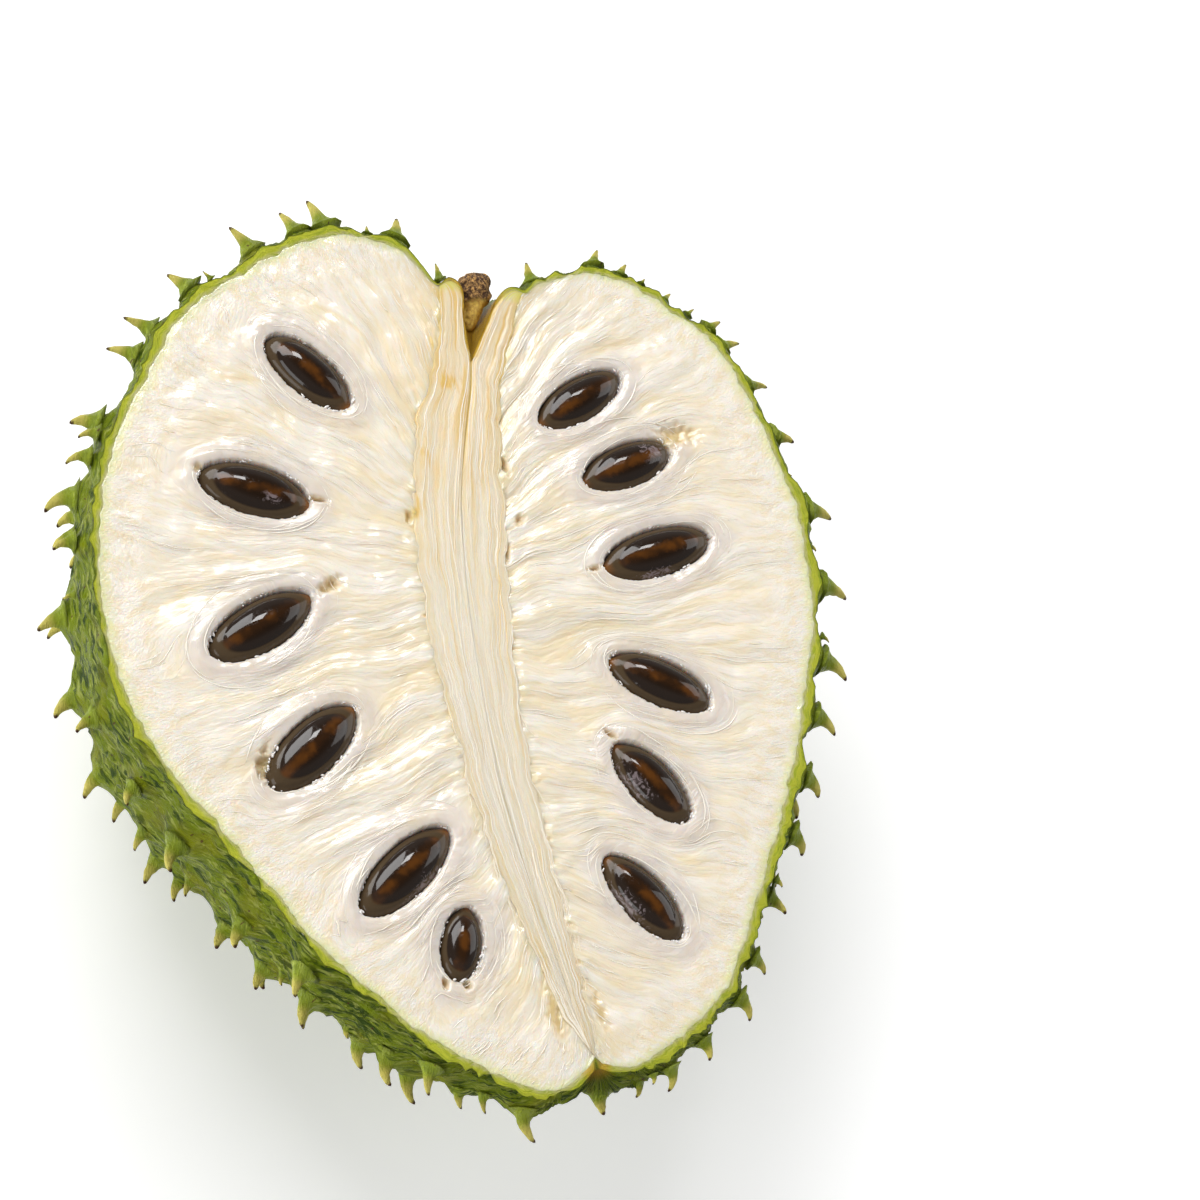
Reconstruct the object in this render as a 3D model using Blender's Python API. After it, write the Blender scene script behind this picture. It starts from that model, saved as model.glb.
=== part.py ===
"""Half a soursop, cut lengthwise and lying on its spiny back with the cut face up.

The fruit is laid out in a face frame in millimetres: X across the cut face, Y from the apex towards
the stalk, Z up out of the face. Every mesh is then lifted onto its flat resting spot, centred and
written in metres.
"""

import math
import random

import bmesh
import bpy
import numpy as np

MM = 0.001

# The three lengthwise curves that shape the half, each from the bottom of the stalk pit to the apex.
PIT_BOTTOM = (-0.2, 63.1)
APEX = (0.6, -62.6)
LEFT_RIM = [  # (x, y) on the cut face
    PIT_BOTTOM, (-0.2, 70.0), (0.4, 76.4), (-1.6, 79.0), (-5.0, 80.2), (-9.0, 84.8), (-14.4, 87.4),
    (-21.8, 88.4), (-31.8, 85.2), (-44.4, 78.1), (-53.3, 70.2), (-60.0, 59.4), (-66.0, 48.8),
    (-70.0, 34.9), (-71.4, 23.5), (-70.3, 8.1), (-67.2, -2.4), (-62.2, -12.2), (-55.8, -21.4),
    (-49.8, -30.5), (-43.3, -40.4), (-36.3, -48.0), (-28.4, -56.0), (-19.0, -62.6), (-10.5, -66.8),
    (-4.0, -66.2), APEX,
]
RIGHT_RIM = [  # (x, y) on the cut face
    PIT_BOTTOM, (3.1, 68.8), (6.4, 74.6), (10.0, 77.4), (15.2, 78.9), (20.6, 80.6), (26.6, 81.0),
    (34.0, 78.0), (41.0, 72.8), (46.4, 67.6), (51.0, 58.6), (54.2, 47.0), (56.8, 34.4),
    (56.9, 23.0), (55.6, 11.5), (51.9, 0.0), (45.8, -16.4), (36.8, -34.6), (27.6, -51.2),
    (19.3, -58.6), (10.5, -63.4), (4.8, -64.2), APEX,
]
BACK_LINE = [  # (y, z) along the middle of the back
    (63.1, 0.0), (68.5, -3.4), (73.6, -6.4), (78.0, -10.6), (80.6, -18.0), (79.0, -28.0),
    (73.0, -39.5), (62.0, -49.5), (46.0, -56.5), (28.0, -60.0), (8.0, -59.5), (-12.0, -54.5),
    (-31.0, -44.5), (-46.0, -32.0), (-57.0, -18.5), (-62.6, -8.5), (-64.0, -3.0), (-62.6, 0.0),
]
BELLY = 0.25  # how much fuller than an ellipse the half is below its rim
BACK_PRESSED_FLAT = 1.6  # how much of the belly is flattened where the half rests
DEEPEST = 60.1

RIND_THICK = 2.2
RIND_THIN = 0.9  # along the pit and at the apex
GAP = 0.3  # between neighbouring pieces
ROWS = 28  # of the rind's mesh, pit to apex
COLUMNS = 18  # of the rind's mesh, left rim to right rim round the back

SPINE_PITCH = 12.4
LEAST_APART = 0.68  # of the pitch
SPINE_LENGTH = 7.2  # with the mound that it stands on
SPINE_ROOT = (-1.0, 4.0, 0.0)  # (height over the skin, radius, lean to the apex)
SPINE_WAIST = (0.38, 1.35, 0.04)  # (share of the length, radius, lean to the apex as a share of it)
SPINE_TIP = (0.93, 0.42)  # (share of the length, lean)
SPINE_SIDES = 5
SPINE_CLEAR = 0.05  # every spine ends this far inside the table's and the cut face's planes
LEFT_SPINES = [  # (share of the way from pit to apex, mm down the skin from the left rim, size share)
    (0.072, 2.0, 0.45), (0.113, 2.5, 1.0), (0.13, 2.0, 0.35), (0.158, 3.0, 1.05), (0.177, 2.5, 0.9),
    (0.212, 2.5, 0.95), (0.25, 2.0, 0.3), (0.265, 3.0, 0.95), (0.305, 3.5, 0.8), (0.323, 5.0, 0.85),
    (0.365, 9.0, 0.5), (0.378, 6.0, 1.1), (0.392, 3.0, 0.6), (0.408, 4.0, 0.7), (0.42, 13.0, 1.1),
    (0.45, 12.0, 0.7), (0.462, 7.0, 0.7), (0.492, 19.0, 1.1), (0.495, 9.0, 0.35), (0.54, 24.0, 1.1),
    (0.575, 12.0, 0.75), (0.588, 28.0, 1.05), (0.627, 10.5, 0.7), (0.64, 24.0, 0.7), (0.672, 10.0, 0.95),
    (0.645, 33.0, 1.0), (0.667, 31.0, 0.8), (0.685, 22.0, 0.6), (0.713, 29.0, 1.0), (0.738, 12.5, 0.95),
    (0.755, 24.0, 1.0), (0.772, 18.0, 0.4), (0.797, 12.0, 0.95), (0.792, 22.0, 0.8), (0.825, 16.0, 0.5),
    (0.835, 18.5, 1.0), (0.86, 9.0, 1.0), (0.873, 14.0, 1.0), (0.907, 8.5, 0.7), (0.922, 5.0, 0.5),
    (0.948, 3.0, 0.9),
]
RIGHT_SPINES = [  # the same from the right rim
    (0.16, 2.5, 0.7), (0.182, 3.5, 0.65), (0.2, 2.0, 0.3), (0.223, 3.5, 0.5), (0.245, 2.5, 0.35),
    (0.265, 3.0, 0.65), (0.283, 4.0, 0.75), (0.32, 4.0, 0.75), (0.335, 5.0, 0.35), (0.367, 4.0, 0.95),
    (0.4, 5.0, 0.3), (0.435, 3.5, 1.05), (0.463, 5.0, 0.4), (0.5, 3.5, 1.05), (0.545, 3.0, 0.3),
    (0.562, 3.5, 1.0), (0.613, 3.5, 0.95), (0.665, 4.0, 1.0), (0.715, 4.0, 0.95), (0.757, 2.5, 0.4),
    (0.767, 5.0, 0.8), (0.823, 3.5, 0.75), (0.858, 3.0, 0.8), (0.902, 3.0, 0.7), (0.938, 2.5, 0.7),
    (0.955, 1.0, 0.35), (0.958, 4.5, 0.5), (0.97, 8.0, 0.9),
]
LEAST_SPINE = 0.5  # size share; smaller ones are mere pimples and left out
SPINE_SEED = 11
FIRST_SPINE_ROW = 0.125  # share of the way from pit to apex
LAST_SPINE_ROW = 0.975
LEAST_SKIN_HEIGHT = 3.6  # closer to the table than this, the spines are pressed away

CORE_STATIONS = [  # (y, x of the middle, half width) of the fibrous core
    (58.2, -2.4, 5.0), (50.0, -4.6, 7.2), (40.0, -6.2, 7.9), (27.0, -7.5, 7.9), (14.0, -8.3, 7.4),
    (0.0, -8.1, 6.3), (-12.0, -7.7, 5.5), (-23.0, -6.6, 5.2), (-35.0, -4.8, 4.0),
    (-46.0, -2.6, 2.8), (-55.5, -0.8, 1.9),
]
CORE_DEPTH_SHARE = 0.95  # depth of the core over its half width
CORE_SIDES = 10

SEEDS_LEFT = [  # (x, y of the centre, length, width, angle of its long axis from +X in degrees)
    (-29.5, 60.8, 17.8, 8.5, -46), (-41.8, 39.3, 18.8, 9.3, -17), (-43.9, 15.2, 20.3, 8.6, 29),
    (-38.1, -6.1, 19.9, 8.7, 40), (-25.9, -27.9, 20.8, 8.2, 39), (-18.4, -40.6, 12.4, 6.8, 72),
]
SEEDS_RIGHT = [
    (18.5, 55.1, 18.5, 7.6, 30), (25.0, 42.4, 18.0, 7.8, 20), (27.6, 26.0, 20.6, 8.6, 15),
    (23.7, 2.3, 18.6, 8.5, -28), (18.8, -15.4, 17.4, 8.6, -53), (13.8, -35.0, 17.9, 8.3, -54),
]
SEED_THICK = 5.6
SEED_SINK = 1.7  # depth of a seed's middle under the cut face
SEED_SIDES = 12
SEED_RINGS = 7

STALK_STATIONS = [  # (x, y, z of the middle, radius) from the pit's bottom to the broken top
    (1.0, 67.4, -1.5, 0.5), (1.8, 69.6, -2.3, 1.2), (2.6, 72.2, -2.9, 1.9), (3.3, 74.8, -3.2, 2.5),
    (3.8, 77.2, -3.3, 2.8), (3.9, 79.4, -3.4, 2.5), (3.9, 80.4, -3.4, 1.4),
]
STALK_SIDES = 10

RIND_GREEN = (0.16, 0.24, 0.05)
FLESH_CREAM = (0.86, 0.80, 0.68)
CORE_STRAW = (0.84, 0.70, 0.42)
SEED_BROWN = (0.035, 0.014, 0.004)
STALK_BROWN = (0.20, 0.10, 0.045)


def curve_through(points, count):
    """count + 1 points at equal steps along the Catmull-Rom curve through the given points."""
    points = np.array(points, float)
    ends = np.vstack([2 * points[0] - points[1], points, 2 * points[-1] - points[-2]])
    steps = np.linspace(0, 1, 16, endpoint=False)[:, None]
    fine = []
    for a, b, c, d in zip(ends, ends[1:], ends[2:], ends[3:]):
        fine.append(b + steps * ((c - a) / 2 + steps * (a - 2.5 * b + 2 * c - d / 2
                    + steps * (1.5 * (b - c) + (d - a) / 2))))
    fine = np.vstack([*fine, points[-1:]])
    along = np.concatenate([[0], np.cumsum(np.linalg.norm(np.diff(fine, axis=0), axis=1))])
    wanted = np.linspace(0, along[-1], count + 1)
    return np.stack([np.interp(wanted, along, fine[:, k]) for k in (0, 1)], axis=1)


def rind_thickness(s):
    """Thin in the pit and at the apex, full elsewhere."""
    rise = np.clip((s - 0.10) / 0.10, 0, 1) * np.clip((1 - s) / 0.07, 0, 1)
    return RIND_THIN + (RIND_THICK - RIND_THIN) * rise


def moved_inwards(curve, depth, turn):
    """The curve moved sideways by a depth at each point, to the side that turn gives (+1 left, -1 right)."""
    along = np.gradient(curve, axis=0)
    along /= np.linalg.norm(along, axis=1, keepdims=True)
    aside = turn * np.stack([-along[:, 1], along[:, 0]], axis=1)
    return curve + aside * depth[:, None]


def skin_grid(rows, columns, extra=0.0, inner=False):
    """Points of the skin, [row][column], in the face frame: the outer skin, or the rind's inner wall."""
    s = np.linspace(0, 1, rows + 1)
    left = curve_through(LEFT_RIM, rows)
    right = curve_through(RIGHT_RIM, rows)
    back = curve_through(BACK_LINE, rows)
    if inner:
        depth = rind_thickness(s) + extra
        left = moved_inwards(left, depth, 1)
        right = moved_inwards(right, depth, -1)
        back = moved_inwards(back, depth, -1)
        for curve, pole_x in ((left, PIT_BOTTOM[0]), (right, PIT_BOTTOM[0])):
            curve[0] = (pole_x, PIT_BOTTOM[1] - 1.6 * depth[0])
            curve[-1] = (APEX[0], APEX[1] + 1.6 * depth[-1])
        back[0] = (left[0, 1], 0)
        back[-1] = (left[-1, 1], 0)
    turn = np.linspace(0, math.pi, columns + 1)
    cos, sin = np.round(np.cos(turn), 9), np.round(np.sin(turn), 9)
    middle = (left[:, 0] + right[:, 0]) / 2
    grid = np.zeros((rows + 1, columns + 1, 3))
    for j in range(columns + 1):
        side = left if cos[j] > 0 else right
        reach = abs(cos[j])
        grid[:, j, 0] = middle + (side[:, 0] - middle) * reach * (1 + BELLY * (1 - reach**2))
        grid[:, j, 1] = side[:, 1] * reach**2 + back[:, 0] * (1 - reach**2)
        grid[:, j, 2] = back[:, 1] * sin[j]
    floor = BACK_PRESSED_FLAT - DEEPEST
    if inner:
        floor += RIND_THICK + extra
    grid[:, :, 2] = np.maximum(grid[:, :, 2], floor)
    return grid


FACE_HEIGHT = DEEPEST - BACK_PRESSED_FLAT


def new_object(name, vertices, faces, colour, roughness):
    """A closed mesh object in the face frame, with its own Principled material and its normals out."""
    mesh = bpy.data.meshes.new(name)
    mesh.from_pydata([tuple(v) for v in vertices], [], faces)
    shape = bmesh.new()
    shape.from_mesh(mesh)
    bmesh.ops.recalc_face_normals(shape, faces=shape.faces)
    shape.to_mesh(mesh)
    shape.free()
    material = bpy.data.materials.new(name + "_finish")
    material.use_nodes = True
    shader = material.node_tree.nodes["Principled BSDF"]
    shader.inputs["Base Color"].default_value = (*colour, 1)
    shader.inputs["Roughness"].default_value = roughness
    mesh.materials.append(material)
    obj = bpy.data.objects.new(name, mesh)
    bpy.context.scene.collection.objects.link(obj)
    return obj


def combine(obj, other, operation):
    """Applies an exact Boolean of obj with another object, which is then removed."""
    modifier = obj.modifiers.new(operation.lower(), "BOOLEAN")
    modifier.operation = operation
    modifier.solver = "EXACT"
    modifier.use_self = operation == "UNION"
    modifier.object = other
    bpy.context.view_layer.update()
    graph = bpy.context.evaluated_depsgraph_get()
    made = bpy.data.meshes.new_from_object(obj.evaluated_get(graph))
    obj.modifiers.clear()
    finish = obj.data.materials[0]
    obj.data = made
    made.materials.clear()
    made.materials.append(finish)
    bpy.data.objects.remove(other)


def grid_faces(index):
    """Quads between neighbouring rows and columns of a grid of vertex numbers, triangles at its poles."""
    faces = []
    for i in range(len(index) - 1):
        for j in range(len(index[0]) - 1):
            corners = [index[i][j], index[i + 1][j], index[i + 1][j + 1], index[i][j + 1]]
            faces.append(list(dict.fromkeys(corners)))
    return faces


def indexed(grid, vertices):
    """Adds a grid with single points at its first and last rows to the vertices; returns vertex numbers."""
    index = []
    for i, row in enumerate(grid):
        if i in (0, len(grid) - 1):
            vertices.append(row[0])
            index.append([len(vertices) - 1] * len(row))
        else:
            start = len(vertices)
            vertices.extend(row)
            index.append(list(range(start, start + len(row))))
    return index


def make_rind():
    """The green skin as one shell, open at the cut face, with its spines grown into it."""
    vertices = []
    outer = indexed(skin_grid(ROWS, COLUMNS), vertices)
    inner = indexed(skin_grid(ROWS, COLUMNS, inner=True), vertices)
    faces = grid_faces(outer) + grid_faces(inner)
    for column in (0, -1):
        for i in range(ROWS):
            lip = [outer[i][column], outer[i + 1][column], inner[i + 1][column], inner[i][column]]
            faces.append(lip)
    rind = new_object("rind", vertices, faces, RIND_GREEN, 0.5)
    combine(rind, make_spines(), "UNION")
    return rind


def spine_places():
    """Where each spine stands: a row along each rim, and a staggered lattice with scatter elsewhere.

    Gives (point, outward normal, direction to the apex, size share) for each spine.
    """
    scatter = random.Random(SPINE_SEED)
    fine_rows, fine_columns = 400, 180
    grid = skin_grid(fine_rows, fine_columns)
    steps = np.linalg.norm(np.diff(grid, axis=1), axis=2)
    girths = np.cumsum(np.column_stack([np.zeros(fine_rows + 1), steps]), axis=1)
    wanted = list(LEFT_SPINES)
    wanted += [(s, girths[round(s * fine_rows), -1] - down, size) for s, down, size in RIGHT_SPINES]
    rim_count = len(wanted)
    back_length = np.linalg.norm(np.diff(grid[:, fine_columns // 2], axis=0), axis=1).sum()
    span = LAST_SPINE_ROW - FIRST_SPINE_ROW
    row_count = round(span * back_length / (SPINE_PITCH * 0.87))
    for row in range(row_count + 1):
        s = FIRST_SPINE_ROW + span * row / row_count
        girth = girths[round(s * fine_rows), -1]
        count = max(2, round(girth / SPINE_PITCH))
        for k in range(count):
            place = (k + (0.28 if row % 2 else 0.72)) / count
            place = min(max(place + scatter.uniform(-0.16, 0.16) / count, 0.03), 0.97)
            s_here = min(s + scatter.uniform(-0.012, 0.012), LAST_SPINE_ROW)
            size = scatter.uniform(0.8, 1.12) * (0.62 + 0.38 * math.sin(math.pi * s_here) ** 0.5)
            wanted.append((s_here, place * girth, size))
    places = []
    for number, (s, reach, size) in enumerate(wanted):
        i = min(max(round(s * fine_rows), 1), fine_rows - 1)
        j = min(max(int(np.searchsorted(girths[i], reach)), 1), fine_columns - 1)
        point = grid[i, j]
        crowded = any(np.linalg.norm(point - other[0]) < SPINE_PITCH * LEAST_APART for other in places)
        if point[2] + FACE_HEIGHT < LEAST_SKIN_HEIGHT or (crowded and number >= rim_count):
            continue
        down = grid[i + 1, j] - grid[i - 1, j]
        across = grid[i, j + 1] - grid[i, j - 1]
        normal = np.cross(across, down)
        places.append((point, normal / np.linalg.norm(normal), down / np.linalg.norm(down), size))
    return places


def make_spines():
    """All the spines as one object of small bent cones on flared feet, sunk a little into the skin."""
    vertices, faces = [], []
    for point, normal, down, size in spine_places():
        if size < LEAST_SPINE:
            continue
        across = np.cross(normal, down)
        length = SPINE_LENGTH * size
        start = len(vertices)
        waist_height, waist_radius, waist_lean = SPINE_WAIST
        for height, radius, lean in (SPINE_ROOT, (waist_height * length, waist_radius, waist_lean * length)):
            middle = point + normal * height + down * lean
            for k in range(SPINE_SIDES):
                turn = 2 * math.pi * k / SPINE_SIDES
                ring = math.cos(turn) * down + math.sin(turn) * across
                vertices.append(middle + ring * radius * size)
        tip = len(vertices)
        vertices.append(point + (normal * SPINE_TIP[0] + down * SPINE_TIP[1]) * length)
        faces.append(list(range(start, start + SPINE_SIDES)))
        for k in range(SPINE_SIDES):
            after = (k + 1) % SPINE_SIDES
            for row in range(start, tip - SPINE_SIDES, SPINE_SIDES):
                faces.append([row + k, row + after, row + SPINE_SIDES + after, row + SPINE_SIDES + k])
            faces.append([tip - SPINE_SIDES + k, tip - SPINE_SIDES + after, tip])
    for vertex in vertices:
        vertex[2] = min(max(vertex[2], SPINE_CLEAR - FACE_HEIGHT), -SPINE_CLEAR)
    return new_object("spines", vertices, faces, RIND_GREEN, 0.5)


def make_flesh(cutters):
    """The pulp that fills the rind, flat on the cut face, with a bed for the core and a pocket per seed."""
    vertices = []
    wall = indexed(skin_grid(ROWS, COLUMNS, extra=GAP, inner=True), vertices)
    faces = grid_faces(wall)
    rim = [wall[i][0] for i in range(ROWS + 1)]
    rim += [wall[i][-1] for i in range(ROWS - 1, 0, -1)]
    faces.append(rim)
    flesh = new_object("flesh", vertices, faces, FLESH_CREAM, 0.35)
    for cutter in cutters:
        combine(flesh, cutter, "DIFFERENCE")
    return flesh


def make_core(name, grow=0.0):
    """The fibrous core: a bar, flat on the cut face and half round below, tapering to both ends."""
    stations = np.array(CORE_STATIONS)
    if grow:
        stations[0, 0] += grow
        stations[-1, 0] -= grow
    vertices, faces = [], []
    for y, x, half_width in stations:
        half_width += grow
        top = 2.0 if grow else 0.0  # the bed's cutter stands above the face
        vertices.append((x + half_width, y, top))
        vertices.append((x - half_width, y, top))
        for k in range(CORE_SIDES + 1):
            turn = math.pi * k / CORE_SIDES
            depth = half_width * CORE_DEPTH_SHARE * round(math.sin(turn), 9)
            if 0 < k < CORE_SIDES or grow:
                vertices.append((x - half_width * math.cos(turn), y, -depth))
    ring = len(vertices) // len(stations)
    for i in range(len(stations) - 1):
        for k in range(ring):
            after = (k + 1) % ring
            faces.append([i * ring + k, i * ring + after, (i + 1) * ring + after, (i + 1) * ring + k])
    faces.append(list(range(ring)))
    faces.append(list(range(len(vertices) - ring, len(vertices))))
    return new_object(name, vertices, faces, CORE_STRAW, 0.45)


def make_seed(name, seed, grow=0.0):
    """A flattened seed, rounded at one end and drawn to a blunt point at the other."""
    x, y, length, width, angle = seed
    reach, wide, thick = length / 2 + grow, width / 2 + grow, SEED_THICK / 2 * min(1, width / 8.2) + grow
    lengthwise = np.array([math.cos(math.radians(angle)), math.sin(math.radians(angle)), 0])
    sideways = np.array([-lengthwise[1], lengthwise[0], 0])
    centre = np.array([x, y, -SEED_SINK])
    vertices, faces = [centre - lengthwise * reach], []
    for i in range(1, SEED_RINGS):
        along = -math.cos(math.pi * i / SEED_RINGS)
        girth = math.sqrt(1 - along**2) * (1 - 0.12 * along)
        for k in range(SEED_SIDES):
            turn = 2 * math.pi * k / SEED_SIDES
            vertices.append(centre + lengthwise * along * reach
                            + sideways * math.cos(turn) * girth * wide
                            + np.array([0, 0, math.sin(turn) * girth * thick]))
    vertices.append(centre + lengthwise * reach)
    last = len(vertices) - 1
    for k in range(SEED_SIDES):
        after = (k + 1) % SEED_SIDES
        faces.append([0, 1 + after, 1 + k])
        for i in range(SEED_RINGS - 2):
            row = 1 + i * SEED_SIDES
            faces.append([row + k, row + after, row + SEED_SIDES + after, row + SEED_SIDES + k])
        row = 1 + (SEED_RINGS - 2) * SEED_SIDES
        faces.append([row + k, row + after, last])
    return new_object(name, vertices, faces, SEED_BROWN, 0.12)


def make_stalk():
    """The woody stub left in the stalk pit."""
    vertices, faces = [], []
    for x, y, z, radius in STALK_STATIONS:
        for k in range(STALK_SIDES):
            turn = 2 * math.pi * k / STALK_SIDES
            vertices.append((x + radius * math.cos(turn), y, z + radius * math.sin(turn)))
    for i in range(len(STALK_STATIONS) - 1):
        for k in range(STALK_SIDES):
            after = (k + 1) % STALK_SIDES
            row = i * STALK_SIDES
            faces.append([row + k, row + after, row + STALK_SIDES + after, row + STALK_SIDES + k])
    faces.append(list(range(STALK_SIDES)))
    faces.append(list(range(len(vertices) - STALK_SIDES, len(vertices))))
    return new_object("stalk", vertices, faces, STALK_BROWN, 0.8)


def set_on_table(pieces):
    """Lifts the pieces from the face frame onto the table, centres their common box and goes to metres."""
    corners = np.array([v.co for piece in pieces for v in piece.data.vertices])
    low, high = corners.min(axis=0), corners.max(axis=0)
    middle = (low + high) / 2
    for piece in pieces:
        for vertex in piece.data.vertices:
            x, y, z = vertex.co
            vertex.co = ((x - middle[0]) * MM, (y - middle[1]) * MM, (z + FACE_HEIGHT) * MM)
        piece.data.shade_smooth()
        piece.data.set_sharp_from_angle(angle=math.radians(40))


def make_half():
    for old in list(bpy.data.objects):
        bpy.data.objects.remove(old)
    seeds = {}
    for side, group in (("left", SEEDS_LEFT), ("right", SEEDS_RIGHT)):
        for number, seed in enumerate(group, start=1):
            seeds[f"seed_{side}_{number}"] = seed
    cutters = [make_core("core_bed", grow=GAP)]
    cutters += [make_seed(name + "_pocket", seed, grow=GAP) for name, seed in seeds.items()]
    pieces = [make_rind(), make_flesh(cutters), make_core("core"), make_stalk()]
    pieces += [make_seed(name, seed) for name, seed in seeds.items()]
    set_on_table(pieces)


make_half()
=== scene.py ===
"""Half a soursop, cut lengthwise and lying on its spiny back with the cut face up."""

import math
import random

import bpy
import numpy as np
from mathutils import Matrix, Vector
from mathutils.kdtree import KDTree


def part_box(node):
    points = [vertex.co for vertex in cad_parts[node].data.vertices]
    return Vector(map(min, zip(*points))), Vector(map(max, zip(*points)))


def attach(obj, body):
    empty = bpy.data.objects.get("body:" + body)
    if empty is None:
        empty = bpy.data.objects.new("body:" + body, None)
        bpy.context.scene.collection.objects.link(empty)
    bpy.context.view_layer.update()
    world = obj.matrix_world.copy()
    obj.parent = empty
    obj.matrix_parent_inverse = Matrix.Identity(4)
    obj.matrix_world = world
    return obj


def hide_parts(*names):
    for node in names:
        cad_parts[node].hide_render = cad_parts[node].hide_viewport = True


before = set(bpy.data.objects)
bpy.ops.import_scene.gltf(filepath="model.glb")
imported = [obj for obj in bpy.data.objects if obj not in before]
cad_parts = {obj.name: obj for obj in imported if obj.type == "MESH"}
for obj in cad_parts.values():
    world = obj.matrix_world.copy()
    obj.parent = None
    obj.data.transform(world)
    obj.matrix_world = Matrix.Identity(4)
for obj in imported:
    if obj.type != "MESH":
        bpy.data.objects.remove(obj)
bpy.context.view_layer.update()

# ---- Rind ---------------------------------------------------------------------------------------
# The leathery green skin of the half, grown in one piece: long wrinkles from stalk to apex, a mound
# under every spine, soft hooked spines that lean to the apex, and the cut lip, lime green fading to
# the cream of the pulp. It is laid out in a face frame in millimetres: X across the cut face, Y
# towards the stalk, Z up out of the face.
MM = 0.001
core_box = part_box("core")
CORE_RIGHT_END, CORE_TOP_END = 2.6, 58.2  # the core solid's highest x and y in the face frame
face_origin = np.array([core_box[1].x - CORE_RIGHT_END * MM, core_box[1].y - CORE_TOP_END * MM,
                        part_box("flesh")[1].z])
face_height = face_origin[2] / MM

PIT_BOTTOM = (-0.2, 63.1)
APEX = (0.6, -62.6)
LEFT_RIM = [  # (x, y) on the cut face
    PIT_BOTTOM, (-0.2, 70.0), (0.4, 76.4), (-1.6, 79.0), (-5.0, 80.2), (-9.0, 84.8), (-14.4, 87.4),
    (-21.8, 88.4), (-31.8, 85.2), (-44.4, 78.1), (-53.3, 70.2), (-60.0, 59.4), (-66.0, 48.8),
    (-70.0, 34.9), (-71.4, 23.5), (-70.3, 8.1), (-67.2, -2.4), (-62.2, -12.2), (-55.8, -21.4),
    (-49.8, -30.5), (-43.3, -40.4), (-36.3, -48.0), (-28.4, -56.0), (-19.0, -62.6), (-10.5, -66.8),
    (-4.0, -66.2), APEX,
]
RIGHT_RIM = [  # (x, y) on the cut face
    PIT_BOTTOM, (3.1, 68.8), (6.4, 74.6), (10.0, 77.4), (15.2, 78.9), (20.6, 80.6), (26.6, 81.0),
    (34.0, 78.0), (41.0, 72.8), (46.4, 67.6), (51.0, 58.6), (54.2, 47.0), (56.8, 34.4),
    (56.9, 23.0), (55.6, 11.5), (51.9, 0.0), (45.8, -16.4), (36.8, -34.6), (27.6, -51.2),
    (19.3, -58.6), (10.5, -63.4), (4.8, -64.2), APEX,
]
BACK_LINE = [  # (y, z) along the middle of the back
    (63.1, 0.0), (68.5, -3.4), (73.6, -6.4), (78.0, -10.6), (80.6, -18.0), (79.0, -28.0),
    (73.0, -39.5), (62.0, -49.5), (46.0, -56.5), (28.0, -60.0), (8.0, -59.5), (-12.0, -54.5),
    (-31.0, -44.5), (-46.0, -32.0), (-57.0, -18.5), (-62.6, -8.5), (-64.0, -3.0), (-62.6, 0.0),
]
SKIN_ROWS = 330  # pit to apex
SKIN_COLUMNS = 210  # left rim to right rim round the back
BELLY = 0.25  # how much fuller than an ellipse the half is below its rim
LIP_WIDTH = 1.9
LIP_SHARES = [0, 0.055, 0.075, 0.13, 0.2, 0.93, 1], [0.2, 0.2, 0.6, 0.8, 1, 1, 0.6]  # pit to apex
LIP_COLUMNS = 7
WALL_COLUMNS = 12


def curve_through(points, count):
    """count + 1 points at equal steps along the Catmull-Rom curve through the given points."""
    points = np.array(points, float)
    ends = np.vstack([2 * points[0] - points[1], points, 2 * points[-1] - points[-2]])
    steps = np.linspace(0, 1, 64, endpoint=False)[:, None]
    fine = []
    for a, b, c, d in zip(ends, ends[1:], ends[2:], ends[3:]):
        fine.append(b + steps * ((c - a) / 2 + steps * (a - 2.5 * b + 2 * c - d / 2
                    + steps * (1.5 * (b - c) + (d - a) / 2))))
    fine = np.vstack([*fine, points[-1:]])
    along = np.concatenate([[0], np.cumsum(np.linalg.norm(np.diff(fine, axis=0), axis=1))])
    wanted = np.linspace(0, along[-1], count + 1)
    return np.stack([np.interp(wanted, along, fine[:, k]) for k in (0, 1)], axis=1)


def moved_inwards(curve, depth, turn):
    """The curve moved sideways by a depth at each point: turn +1 to its left, -1 to its right."""
    along = np.gradient(curve, axis=0)
    along /= np.linalg.norm(along, axis=1, keepdims=True)
    aside = turn * np.stack([-along[:, 1], along[:, 0]], axis=1)
    return curve + aside * depth[:, None]


def lip_width(s):
    """Width of the cut lip: uneven, a thread along the pit, narrow by the stalk and at the apex."""
    uneven = 1 + 0.28 * noise(s * 45, 0, 7) + 0.20 * noise(s * 140, 0, 8)
    return LIP_WIDTH * uneven * np.interp(s, *LIP_SHARES)


def lengthwise_curves(rows, inner=False):
    """The left rim, right rim and back line, or the same moved in by the lip's width."""
    left, right, back = (curve_through(line, rows) for line in (LEFT_RIM, RIGHT_RIM, BACK_LINE))
    if inner:
        depth = lip_width(np.linspace(0, 1, rows + 1))
        left = moved_inwards(left, depth, 1)
        right = moved_inwards(right, depth, -1)
        back = moved_inwards(back, depth, -1)
        left[0] = right[0] = (PIT_BOTTOM[0], PIT_BOTTOM[1] - 1.6 * depth[0])
        left[-1] = right[-1] = (APEX[0], APEX[1] + 1.6 * depth[-1])
        back[0] = (left[0, 1], 0)
        back[-1] = (left[-1, 1], 0)
    return left, right, back


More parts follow.
